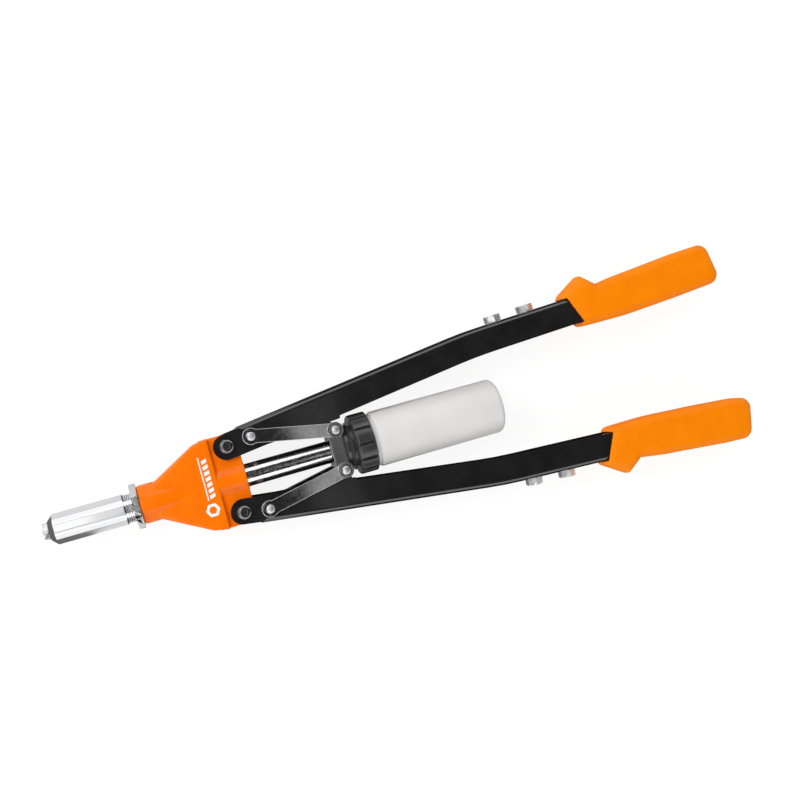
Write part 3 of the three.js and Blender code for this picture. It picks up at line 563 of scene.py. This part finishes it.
def head_distance(x, y, z):
    front, rear, wide = casting.low.x, casting.high.x, casting.high.y
    across = np.hypot(y, z)
    taper = np.clip((x - front - TAPER_START) / TAPER_LENGTH, 0, 1)
    barrel = across - (BARREL_R - BARREL_TAPER * taper**1.3)
    barrel = round_common(barrel, front - x, 2.0)
    barrel = round_common(barrel, x - front - BARREL_LENGTH, 1.5)
    half_outline = [(front + 4.5, 7.0, 0.5), (front + 7.8, 10.2, 0.5)]
    half_outline += [(STEP_X - 10.9, wide - 2.1, 5), (STEP_X, wide, 0.6)]
    mirrored = [(px, -py, r) for px, py, r in reversed(half_outline)]
    plan = outline_distance(rounded(half_outline + mirrored), x, y)
    height = np.abs(z) - WEDGE_HALF
    strip = 0.8 + 1.7 * np.clip((STEP_X - 9 - x) / 36, 0, 1)  # the chamfer along the flanks
    wedge = round_common(np.maximum(plan, height), plan * 0.57 + height * 0.82 + strip * 0.57, 0.25)
    wedge = round_common(wedge, x - STEP_X, 0.35)
    body = fillet_join(barrel, wedge, 0.2)
    side = PIVOT.y + rear - PIVOT.x
    ear = rear - PIVOT.x
    rear_outline = [(STEP_X - 6, -side, 0), (rear, -side, ear), (rear, side, ear), (STEP_X - 6, side, 0)]
    rear_plan = outline_distance(rounded(rear_outline), x, y)
    plate_form = round_common(rear_plan, np.abs(z) - REAR_HALF, 0.8)
    boss = round_common(across - BOSS_R, x - rear, 0.8)
    boss = np.maximum(boss, STEP_X - 4 - x)
    rear_form = fillet_join(plate_form, boss, 1.3)
    body = fillet_join(body, rear_form, 0.2)
    sleeve_hole = np.maximum(across - SLEEVE_HOLE_R, x - SLEEVE_HOLE_END)
    tube_hole = across - TUBE_HOLE_R
    body = -round_common(-body, -np.minimum(sleeve_hole, tube_hole), 0.01)
    for side_sign in (-1, 1):
        pin_hole = np.hypot(x - PIVOT.x, y - side_sign * PIVOT.y) - PIVOT_HOLE_R
        body = np.maximum(body, -pin_hole)
    return np.maximum(body, np.maximum(-sleeve_hole, -tube_hole))


HEAD_CELL = 0.45
head_low = (casting.low.x - 2 * HEAD_CELL, -HEAD_HALF_WIDTH, -HEAD_HALF_HEIGHT)
head_high = (casting.high.x + 2 * HEAD_CELL, HEAD_HALF_WIDTH, HEAD_HALF_HEIGHT)
piece(
    "look_head_casting", formed(head_distance, head_low, head_high, HEAD_CELL), "head",
    ["head_casting"], orange_enamel,
)


def head_marks():
    """A plain hexagon ring, a thin stripe and a row of slanted dashes, printed on the head."""
    low, high = WEDGE_HALF - 0.2, WEDGE_HALF + 0.06
    ring_at = at(STEP_X - 8, -16)
    opening = moved(plate(hexagon(4.8), 0, 20), ring_at)
    marks = cut(moved(plate(hexagon(8.6), low, high), ring_at), opening)
    left, right, start, end = STEP_X - 9.6, STEP_X - 8.8, -9, 21
    stripe = [(left, start), (right, start), (right, end), (left, end)]
    stripes = [plate(stripe, low, high)]
    dashes, first, pitch, width, lean = 7, -8.4, 4.0, 2.5, 1.2
    left, right = STEP_X - 7.6, STEP_X - 3.9
    for i in range(dashes):
        y = first + i * pitch
        dash = [(left, y), (right, y + lean), (right, y + lean + width), (left, y + width)]
        stripes.append(plate(dash, low, high))
    bm = bmesh.new()
    for mesh in [marks, *stripes]:
        bm.from_mesh(mesh)
    return as_mesh(bm)


piece("look_head_marks", head_marks(), "head", [], white_paint)


# ------------------------------------------------------------------------------ head pivots
def pivot_screw():
    screw = Cad("pivot_screw_right")
    seat, r, top = 10.1, screw.size.x / 2, screw.high.z
    profile = [(screw.low.z, 0, 0), (screw.low.z, 2.5, 0)]
    shank = rounded(profile, closed=False) + thread(screw.low.z + 0.4, seat - 4, 3.0, 1.0, 0.5)
    shank += [(seat - 3, 3.0), (seat, 3.0), (seat, r - 0.3), (seat + 0.3, r), (seat + 0.9, r)]
    steps = 6
    for i in range(1, steps + 1):
        turn = i / steps * math.pi / 2
        shank.append((seat + 0.9 + (top - seat - 0.9) * math.sin(turn), r - 2.1 * (1 - math.cos(turn))))
    shank.append((top, 0))
    socket = moved(plate(hexagon(4.0), top - 2, top + 1), Matrix.Rotation(0.4, 4, "Z"))
    screw_mesh = cut(moved(turned(shank, 64), TO_UPRIGHT), socket)
    return moved(eased(screw_mesh, 0.12, 2, 40), at(PIVOT.x, PIVOT.y))


def pivot_nut():
    nut = Cad("pivot_nut_right")
    top, low, flats = nut.high.z, nut.low.z, nut.size.y
    collar = 1.3
    blank = moved(hex_bar(top - low - collar, flats, 1.1, 0), TO_UPRIGHT, at(0, 0, low + collar))
    dome_top = low + collar + 0.6
    dome = rounded([(low, 0, 0), (low, 3.6, 1.1), (dome_top, 4.3, 0), (dome_top, 0, 0)], False)
    blank = joined(blank, upright(0, 0, dome))
    hole = rod(0, 0, PIVOT_HOLE_R, low - 1, top + 1)
    return moved(eased(cut(blank, hole), 0.15, 2, 35), at(PIVOT.x, PIVOT.y))


pair("pivot_screw", pivot_screw(), "head", dark_steel)
pair("pivot_nut", pivot_nut(), "head", bright_steel)

# ------------------------------------------------------------------------------ arms
EAR_R = 9.3
ARM_WIDTH = 20.2
ARM_SHEET = 2.5
ARM_BEND_R = 4.0
WEB_START = 10.9
CHEEK_DROP = 3.5
CHEEK_END = 80
BEND_AT = 190
REAR_LENGTH = 186
BEND_SWEEP_R = 320
PIN_CLEARANCE_R = 4.2  # of the arm's hole round the handle pin's waist
SPARE_HOLE_R = 4.7

handle_pin = Cad("handle_pin_right")
LINK_PIN = Vector((handle_pin.mid.x, handle_pin.mid.y))
ARM_WAY = (LINK_PIN - PIVOT).normalized()
spares = [Cad("spare_nosepiece_right_1"), Cad("spare_nosepiece_right_2")]
REAR_WAY = Vector((spares[1].mid - spares[0].mid).xy).normalized()


def on_arm(u, v):
    """u along the arm from the head pivot and v outwards of it."""
    return PIVOT + ARM_WAY * u + Vector((-ARM_WAY.y, ARM_WAY.x)) * v


BEND = on_arm(BEND_AT, EAR_R)


def on_rear(s, t):
    """s along the arm's rear leg from the bend and t outwards of its web."""
    return BEND + REAR_WAY * s + Vector((-REAR_WAY.y, REAR_WAY.x)) * t


def arm_outline():
    inner = EAR_R - ARM_WIDTH
    corners = [(*on_arm(WEB_START, EAR_R), 0.5), (*on_arm(WEB_START - 0.3, EAR_R - 1.0), 0.2)]
    corners += [(*on_arm(-EAR_R + 0.3, EAR_R - 1.2), 7.9), (*on_arm(-EAR_R, -EAR_R), 9.2)]
    corners += [(*on_arm(25, -EAR_R - 0.3), 60), (*on_arm(CHEEK_END, -EAR_R - CHEEK_DROP), 0.8)]
    corners += [(*on_arm(CHEEK_END + 0.6, inner), 0.8), (*on_arm(BEND_AT, inner), BEND_SWEEP_R)]
    corners += [(*on_rear(REAR_LENGTH, -ARM_WIDTH), 0.8), (*on_rear(REAR_LENGTH, 0), 0.8)]
    return rounded(corners + [(*BEND, BEND_SWEEP_R)])


def channel_outline(wall):
    inner = EAR_R - ARM_WIDTH - 12
    corners = [(*on_arm(WEB_START, EAR_R + 3), 0), (*on_arm(-EAR_R - 3, EAR_R + 3), 0)]
    corners += [(*on_arm(-EAR_R - 3, inner), 0), (*on_arm(BEND_AT, inner), 0)]
    corners += [(*on_rear(REAR_LENGTH + 3, -ARM_WIDTH - 12), 0), (*on_rear(REAR_LENGTH + 3, -wall), 0)]
    corners += [(*on_rear(0, -wall), BEND_SWEEP_R), (*on_arm(WEB_START, EAR_R - wall), 0)]
    return rounded(corners)


def arm():
    half = Cad("arm_right").high.z
    blank = plate(arm_outline(), -half, half)
    bm = bmesh.new()
    bm.from_mesh(blank)

    def on_web(vert):
        place = vert.co.xy - PIVOT
        u, v = place.dot(ARM_WAY), place.dot(Vector((-ARM_WAY.y, ARM_WAY.x)))
        t = (vert.co.xy - BEND).dot(Vector((-REAR_WAY.y, REAR_WAY.x)))
        return u > WEB_START - 0.1 and (v > EAR_R - 0.45 if u < BEND_AT else t > -0.6)

    web_edges = [
        e for e in bm.edges
        if abs(e.verts[0].co.z - e.verts[1].co.z) < 0.01 and all(on_web(v) for v in e.verts)
    ]
    bmesh.ops.bevel(bm, geom=web_edges, offset=ARM_BEND_R, segments=7, profile=0.5, affect="EDGES")
    blank = as_mesh(bm)
    gap = half - ARM_SHEET
    holes = [rod(*PIVOT, PIVOT_HOLE_R, -half - 1, half + 1)]
    holes.append(rod(*LINK_PIN, PIN_CLEARANCE_R, -half - 1, half + 1))
    for spare in spares:
        s = (Vector(spare.mid.xy) - BEND).dot(REAR_WAY)
        way = math.atan2(REAR_WAY.x, -REAR_WAY.y)
        start = -ARM_SHEET - 2
        bore = turned([(start, 0), (start, SPARE_HOLE_R), (2, SPARE_HOLE_R), (2, 0)], 40)
        holes.append(moved(bore, Matrix.Rotation(way, 4, "Z"), at(*on_rear(s, 0))))
    body = cut(blank, plate(channel_outline(ARM_SHEET), -gap, gap), *holes)
    return eased(body, 0.3, 2, 38)


def spare_nosepiece(node):
    """A nosepiece with its hexagon outside the web and its thread through it."""
    spare = Cad(node)
    s = (Vector(spare.mid.xy) - BEND).dot(REAR_WAY)
    way = math.atan2(REAR_WAY.x, -REAR_WAY.y)
    head = 5.1
    made = nosepiece(head, Cad("nosepiece_fitted").high.x + 1.3)
    return moved(
        made, Matrix.Rotation(math.pi, 4, "Z"), at(head + 0.1, 0), Matrix.Rotation(way, 4, "Z"),
        at(*on_rear(s, 0)),
    )


pair("arm", arm(), "handle_SIDE", black_enamel)
for number in (1, 2):
    made = spare_nosepiece(f"spare_nosepiece_right_{number}")
    pair("spare_nosepiece", made, "handle_SIDE", pin_steel, f"_{number}")

# ------------------------------------------------------------------------------ grips
GRIP_HALF = 13.3
GRIP_ROUND = 6.0
GRIP_FIT = 0.3
MOUTH_AT = 78.6
MOUTH_SLANT = 0.43
BEAD_AT = 3.2  # behind the mouth


def grip_outline():
    """The grip seen from above, as (s, t) on the rear leg."""
    return rounded([
        (79.4, 0.6, 0.8), (81.4, 3.2, 3), (99.2, 13.9, 2.4), (108.4, 3.3, 2.4), (128, 5.3, 90),
        (146, 6.1, 120), (182, 7.9, 120), (204.6, 8.0, 8.5), (209.5, -23.4, 8), (168, -24.9, 160),
        (124, -25.6, 160), (90.0, -23.8, 4.5),
    ])


def grip_distance(s, t, z):
    plan = outline_distance(grip_outline(), s, t)
    level = np.abs(z)
    thick = GRIP_HALF - 1.2 * np.clip((100 - s) / 22, 0, 1) ** 2
    thick = thick - 1.0 * np.clip((s - 190) / 21, 0, 1) ** 2
    thick = thick - 5.5 * np.clip((t - 4.5) / 9.5, 0, 1) * np.clip((112 - s) / 6, 0, 1)
    body = round_common(plan, level - thick, GRIP_ROUND)
    mouth = (s - MOUTH_AT) - (0.5 - t) * MOUTH_SLANT  # behind the slanted mouth
    body = round_common(body, 0.35 - mouth, 0.9)
    bead = np.maximum(np.abs(mouth - BEAD_AT) - 0.7, -0.5 - body)
    body = np.maximum(body, -bead)
    half = Cad("arm_right").high.z + GRIP_FIT
    pocket = np.maximum(level - half, np.maximum(t - GRIP_FIT, -ARM_WIDTH - GRIP_FIT - t))
    return np.maximum(body, -np.maximum(pocket, s - REAR_LENGTH - GRIP_FIT))


GRIP_CELL = 0.6
grip_mesh = formed(grip_distance, (74.0, -29.0, -15.9), (214.0, 17.0, 15.9), GRIP_CELL)
rear_turn = Matrix.Rotation(math.atan2(REAR_WAY.y, REAR_WAY.x), 4, "Z")
to_rear = at(*BEND) @ rear_turn
pair("grip", moved(grip_mesh, to_rear), "handle_SIDE", orange_grip)

# ------------------------------------------------------------------------------ links and pins
crosshead_pin = Cad("crosshead_pin_right")
CROSS_PIN = Vector((crosshead_pin.mid.x, crosshead_pin.mid.y))
LINK_EYE_R = 5.9
LINK_TIP_R = 5.3
LINK_WAIST = 9.6
PIN_R = 3.0
PIN_HOLE_R = PIN_R + 0.15


def link():
    top, length = Cad("link_right_top"), (CROSS_PIN - LINK_PIN).length
    half = LINK_WAIST / 2
    lean, tip_lean = math.asin(half / LINK_EYE_R), math.asin(half / LINK_TIP_R)
    outline = arc(0, 0, LINK_EYE_R, lean, math.tau - lean, 30)
    outline += arc(length, 0, LINK_TIP_R, math.pi + tip_lean, 3 * math.pi - tip_lean, 26)
    blank = plate(outline, top.low.z, top.high.z)
    holes = [rod(x, 0, PIN_HOLE_R, top.low.z - 1, top.high.z + 1) for x in (0, length)]
    way = math.atan2(*(CROSS_PIN - LINK_PIN).yx)
    return moved(eased(cut(blank, *holes), 0.4, 3, 40), Matrix.Rotation(way, 4, "Z"), at(*LINK_PIN))


def pivot_pin(node, waist):
    """A headless pin with domed ends."""
    pin = Cad(node)
    top, r, neck = pin.high.z, PIN_R, 10.15
    half = [(0, waist), (neck, waist), (neck, r), (top - 0.75, r), (top - 0.45, r - 0.12)]
    half += [(top - 0.2, r - 0.6), (top - 0.06, r - 1.3), (top, r - 2.2), (top, 0)]
    other = [(-z, radius) for z, radius in reversed(half)]
    return upright(pin.mid.x, pin.mid.y, other + half[1:])


def circlip(node, radius):
    """A sprung ring, open on one side, with an eye at each end."""
    clip, bore = Cad(node), PIN_R + 0.12
    gap, steps = math.radians(32), 60
    outer, inner = [], []
    for i in range(steps + 1):
        turn = gap + (math.tau - 2 * gap) * i / steps
        lug = math.exp(-((min(turn - gap, math.tau - gap - turn) - 0.16) / 0.2) ** 2)
        swell = 0.5 - 0.5 * math.cos(turn)  # widest opposite the gap
        outer.append((turn, radius - 0.75 + 0.35 * swell + 0.75 * lug))
        inner.append((turn, bore))
    ring = [(r * math.cos(a), r * math.sin(a)) for a, r in outer + inner[::-1]]
    mesh = plate(ring, clip.low.z, clip.high.z)
    eyes = []
    eye_r, eye_turn = (radius + bore) / 2 + 0.1, 0.17
    for turn in (gap + eye_turn, math.tau - gap - eye_turn):
        place = (eye_r * math.cos(turn), eye_r * math.sin(turn))
        eyes.append(rod(*place, 0.42, clip.low.z - 1, clip.high.z + 1, 16))
    made = eased(cut(mesh, *eyes), 0.12, 2, 40)
    return moved(made, Matrix.Rotation(2.4, 4, "Z"), at(clip.mid.x, clip.mid.y))


def washer(node):
    made = Cad(node)
    low, high, r, bore = made.low.z, made.high.z, made.size.x / 2, PIN_HOLE_R
    edge = 0.18
    profile = [(low, bore), (low, r - edge), (low + edge, r), (high - edge, r), (high, r - edge)]
    profile += [(high, bore + edge), (high - edge, bore), (low, bore)]
    return upright(made.mid.x, made.mid.y, profile, 64)


for level, flip in (("top", None), ("bottom", MIRROR_Z)):
    suffix = f"_{level}"
    made = [link(), circlip("handle_circlip_right_top", 5.2)]
    made += [washer("crosshead_washer_right_top"), circlip("crosshead_circlip_right_top", 4.35)]
    if flip:
        made = [moved(mesh, flip) for mesh in made]
    pair("link", made[0], "link_SIDE", link_plate, suffix)
    pair("handle_circlip", made[1], "link_SIDE", dark_steel, suffix)
    pair("crosshead_washer", made[2], "puller", bright_steel, suffix)
    pair("crosshead_circlip", made[3], "puller", dark_steel, suffix)
pair("handle_pin", pivot_pin("handle_pin_right", 2.0), "link_SIDE", pin_steel)
pair("crosshead_pin", pivot_pin("crosshead_pin_right", PIN_R), "puller", pin_steel)


# ------------------------------------------------------------------------------ crosshead and draw tube
TUBE_NECK_R = 7  # where the crosshead, the cap and the jaw case sit on it
TUBE_NECK_START = 99.0


def crosshead():
    bar = Cad("crosshead")
    x0, x1, y, corner = bar.low.x, bar.high.x, bar.high.y, 3.5
    outline = rounded([(x0, -y, corner), (x1, -y, corner), (x1, y, corner), (x0, y, corner)])
    blank = plate(outline, bar.low.z, bar.high.z)
    bore_r = TUBE_NECK_R + 0.15
    bore = turned([(x0 - 3, 0), (x0 - 3, bore_r), (x1 + 3, bore_r), (x1 + 3, 0)], 72)
    holes = [rod(CROSS_PIN.x, sign * CROSS_PIN.y, PIN_HOLE_R, -12, 12) for sign in (-1, 1)]
    return eased(cut(blank, bore, *holes), 0.5, 3, 40)


def draw_tube():
    tube, bar = Cad("draw_tube"), Cad("crosshead")
    case = Cad("jaw_case")
    r, bore, spigot = tube.high.y, 4.0, case.high.y - 1.75
    profile = [(tube.low.x, bore, 0), (tube.low.x, spigot, 0.4), (case.high.x + 0.1, spigot, 0)]
    profile += [(case.high.x + 0.1, TUBE_NECK_R, 0)]
    profile += [(TUBE_NECK_START, TUBE_NECK_R, 0), (TUBE_NECK_START, r, 0.5)]
    profile += [(bar.low.x - 0.1, r, 0.4), (bar.low.x - 0.1, TUBE_NECK_R, 0)]
    profile += [(tube.high.x, TUBE_NECK_R, 0.3)]
    profile += [(tube.high.x, bore, 0.3), (tube.low.x, bore, 0)]
    return turned(rounded(profile, closed=False), 128)


piece("look_crosshead", crosshead(), "puller", ["crosshead"], ground_steel)
piece("look_draw_tube", draw_tube(), "puller", ["draw_tube"], tube_plate)

# ------------------------------------------------------------------------------ catcher cap and bottle
FLUTES = 12
FLUTE_DEPTH = 2.1
# A groove and half the rib on either side of it, as (share of the pitch, share of the depth)
FLUTE_SECTION = (
    (0.0, 1.0), (0.085, 1.0), (0.098, 0.92), (0.106, 0.5), (0.117, 0.1), (0.14, 0.0),
    (0.25, 0.0), (0.375, 0.0),
)


def catcher_cap():
    cap = Cad("catcher_cap")
    r, hub_r = cap.high.z, 12.5
    front, rear = cap.low.x, cap.high.x
    cone, band = front + 2.6, front + 6.9
    section = list(FLUTE_SECTION) + [(0.5, 0.0)] + [(1 - a, d) for a, d in reversed(FLUTE_SECTION[1:])]
    around = []
    for flute in range(FLUTES):
        for share, depth in section:
            around.append((math.tau * (flute + share) / FLUTES + math.pi / 2, depth))
    # (x, radius, how much of the flute's depth is cut there)
    stations = [
        (front, 7.2, 0), (front, hub_r - 0.5, 0), (front + 0.5, hub_r, 0), (cone, hub_r, 0),
        (cone + 0.1, 13.4, 0), (band - 2.9, 16.9, 0), (band - 2.6, 17.3, 0), (band - 2.3, 17.2, 0),
        (band - 2.2, 16.9, 0), (band - 2.0, 15.2, 0), (band - 0.2, 15.2, 0), (band, 15.5, 0),
        (band, 19.0, 0), (band + 0.05, r - 1.3, 0.5), (band + 0.25, r - 0.7, 0.95),
        (band + 0.6, r - 0.3, 1), (band + 1.3, r - 0.06, 1), (band + 1.9, r, 1),
        (rear - 2.0, r, 1), (rear - 1.7, r, 0.9),
        (rear - 1.2, r, 0.1), (rear - 1.0, r, 0), (rear - 0.6, r, 0), (rear - 0.2, r - 0.25, 0),
        (rear, r - 0.7, 0), (rear, 19.1, 0), (rear - 0.4, 18.8, 0), (band + 3, 18.8, 0),
        (band + 3, 7.2, 0),
    ]
    bm, loops = bmesh.new(), []
    for x, radius, share in stations:
        loop = []
        for turn, depth in around:
            reach = radius - FLUTE_DEPTH * share * depth
            loop.append(bm.verts.new((x, reach * math.cos(turn), reach * math.sin(turn))))
        loops.append(loop)
    skinned(bm, loops, onward=True)
    return as_mesh(bm)


def catcher_bottle():
    bottle, cap = Cad("catcher_bottle"), Cad("catcher_cap")
    r, wall = bottle.high.y, 1.2
    mouth, base, neck = bottle.low.x, bottle.high.x, 18.65
    shoulder = cap.high.x + 0.3
    outer = [(mouth, neck - wall, 0), (mouth, neck, 0.3), (shoulder + 2.2, neck, 0.4)]
    outer += [(shoulder + 3.0, r, 2.6)]
    outer += [(base, r, 4.0), (base, 14, 0.8), (base - 1.0, 12.6, 1), (base - 1.0, 0, 0)]
    inner = [(base - 1.0 - wall, 0, 0), (base - 1.0 - wall, 14, 0.5), (base - wall, r - wall, 3.0)]
    inner += [(shoulder + 4.4, r - wall, 1), (shoulder + 2.4, neck - wall, 1)]
    inner += [(mouth, neck - wall, 0)]
    return turned(rounded(outer, closed=False) + rounded(inner, closed=False), 128)


piece("look_catcher_cap", catcher_cap(), "puller", ["catcher_cap"], black_plastic)
piece(
    "look_catcher_bottle", catcher_bottle(), "bottle", ["catcher_bottle"], milky_plastic,
)

# ------------------------------------------------------------------------------ inside the sleeve
# The jaws, their pusher and their case are out of sight and keep their CAD shapes.
for node, material, slot in (
    ("jaw_1", dark_steel, "dark_steel"), ("jaw_2", dark_steel, "dark_steel"),
    ("jaw_3", dark_steel, "dark_steel"), ("jaw_case", dark_steel, "dark_steel"),
    ("jaw_pusher", bright_steel, "bright_steel"),
):
    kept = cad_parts[node]
    kept.data.materials.clear()
    kept.data.materials.append(material)


def jaw_spring():
    spring = Cad("jaw_spring")
    wire_r, turns, per_turn, around = 0.55, 5, 32, 12
    reach = spring.high.y - wire_r
    start, end = spring.low.x + wire_r, spring.high.x - wire_r
    bm, loops = bmesh.new(), []
    for i in range(turns * per_turn + 1):
        share = i / (turns * per_turn)
        turn = share * turns * math.tau
        x = start + (end - start) * share
        loop = []
        for k in range(around):
            a = math.tau * k / around
            r = reach + wire_r * math.cos(a)
            loop.append(bm.verts.new((x + wire_r * math.sin(a), r * math.cos(turn), r * math.sin(turn))))
        loops.append(loop)
    skinned(bm, loops)
    bm.faces.new(loops[0])
    bm.faces.new(loops[-1])
    return as_mesh(bm)


spring = piece("look_jaw_spring", jaw_spring(), "puller", ["jaw_spring"], spring_steel)
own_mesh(spring)

# ------------------------------------------------------------------------------ stage and light
FLOOR_HALF = 4.0
BACKDROP_R = 3.9
FLOOR_GLOW = 0.86
BACKDROP_GLOW = 0.97


def stage_material(name, colour, glow):
    material = bpy.data.materials.new(name)
    graph = Graph(material)
    place = graph.add("TexCoord").outputs["Object"]
    patches = graph.ramp(graph.noise(place, 3.0), 0.3, 0.7)
    shade = graph.mix(patches, colour, tuple(c * 0.985 for c in colour))
    inputs = {"Base Color": shade, "Roughness": 0.9, "Specular IOR Level": 0.0}
    inputs.update({"Emission Color": (1, 1, 1, 1), "Emission Strength": glow})
    bsdf = graph.add("BsdfPrincipled", inputs)
    graph.add("OutputMaterial", {"Surface": bsdf.outputs[0]})
    return material


def add_stage():
    bm = bmesh.new()
    bmesh.ops.create_grid(bm, x_segments=4, y_segments=4, size=FLOOR_HALF)
    floor = bpy.data.objects.new("floor", as_mesh(bm))
    floor.location.z = cad_box[0][2]
    floor.data.materials.append(stage_material("floor", (0.2, 0.2, 0.2), FLOOR_GLOW))
    floor.visible_glossy = False
    bm = bmesh.new()
    bmesh.ops.create_uvsphere(bm, u_segments=48, v_segments=24, radius=BACKDROP_R)
    backdrop = bpy.data.objects.new("backdrop", as_mesh(bm))
    backdrop.data.materials.append(stage_material("backdrop", (0.0, 0.0, 0.0), BACKDROP_GLOW))
    for kind in ("glossy", "diffuse", "shadow", "transmission"):
        setattr(backdrop, f"visible_{kind}", False)
    for made in (floor, backdrop):
        scene.collection.objects.link(made)


WALLS_FROM_TO = (0.67, 1.40)  # radians from straight up
WALL_LEVEL = 1.6
NOSE_WALL_LEVEL = 1.1
CARD_LEVEL = 0.34
LOWEST_LEVEL = 0.02
PANEL_LEVEL = 2.0  # of a bright panel high over the nose


def add_lamp(name, place, aim, size, power):
    light = bpy.data.lights.new(name, "AREA")
    light.shape, light.size, light.energy = "DISK", size, power
    lamp = bpy.data.objects.new(name, light)
    way = Vector(aim) - Vector(place)
    lamp.matrix_world = Matrix.Translation(place) @ way.to_track_quat("-Z", "Y").to_matrix().to_4x4()
    lamp.visible_glossy = False
    lamp.visible_camera = False
    scene.collection.objects.link(lamp)


def add_world():
    """A studio with two long bright side walls and a dark ceiling. Beyond the nose the ceiling is
    pale, with two dark seams and a bright panel, the walls are dimmer and the floor is grey. A
    small grey card hangs over the grips' end."""
    world = bpy.data.worlds.new("studio")
    scene.world = world
    graph = Graph(world)
    split = graph.add("SeparateXYZ", {"Vector": graph.add("TexCoord").outputs["Generated"]})
    x, y, z = split.outputs
    turn = graph.math("ARCTAN2", y, z)  # round the tool from straight up, towards +Y
    out = graph.math("ABSOLUTE", turn)

    def band(value, start, end, soft):
        rise = graph.ramp(value, start - soft, start + soft)
        return graph.math("MULTIPLY", rise, graph.ramp(value, end + soft, end - soft))

    walls = band(out, *WALLS_FROM_TO, 0.05)
    over_nose = band(x, -0.45, -0.0445, 0.002)
    far_nose = graph.ramp(x, -0.080, -0.092)
    overhead = graph.ramp(out, WALLS_FROM_TO[0] + 0.1, WALLS_FROM_TO[0])
    seams = graph.math("ADD", band(turn, 0.60, 0.66, 0.02), band(turn, -0.42, -0.36, 0.02))
    open_share = graph.math("SUBTRACT", 1.0, graph.math("MULTIPLY", seams, far_nose))
    ceiling = graph.math("MULTIPLY", graph.ramp(far_nose, 0.0, 1.0, 0.82, 1.15), open_share)
    ceiling = graph.math("MULTIPLY", graph.math("MULTIPLY", ceiling, over_nose), overhead)
    below = graph.ramp(out, WALLS_FROM_TO[1] - 0.1, WALLS_FROM_TO[1] + 0.1)
    dark_corner = graph.math("MULTIPLY", far_nose, graph.ramp(turn, 0.0, -0.1))
    floor_level = graph.ramp(dark_corner, 0.0, 1.0, 0.78, 0.15)
    floor_level = graph.math("MULTIPLY", floor_level, band(x, -0.45, -0.005, 0.01))
    nose_floor = graph.math("MULTIPLY", floor_level, below)
    far_end = graph.ramp(x, -0.43, -0.5, 0.0, 0.12)
    panel = graph.math("MULTIPLY", band(x, -0.42, -0.29, 0.02), band(turn, -0.55, 0.55, 0.05))
    panel = graph.math("MULTIPLY", panel, PANEL_LEVEL)
    card = graph.math("MULTIPLY", band(x, 0.120, 0.166, 0.006), band(turn, -0.24, 0.10, 0.05))
    card = graph.math("MULTIPLY", card, CARD_LEVEL)
    wall_level = graph.math("MULTIPLY_ADD", over_nose, NOSE_WALL_LEVEL - WALL_LEVEL, WALL_LEVEL)
    level = graph.math("MULTIPLY", walls, wall_level)
    for part in (ceiling, nose_floor, far_end, panel, card):
        level = graph.math("ADD", level, part)
    strength = graph.math("ADD", level, LOWEST_LEVEL)
    light = graph.add("Background", {"Color": (1, 1, 1, 1), "Strength": strength})
    graph.add("OutputWorld", {"Surface": light.outputs[0]})


add_stage()
add_world()
add_lamp("key", (-0.8, 0.45, 0.95), (0, 0, 0), 0.5, 6)
scene.view_settings.view_transform = "Standard"
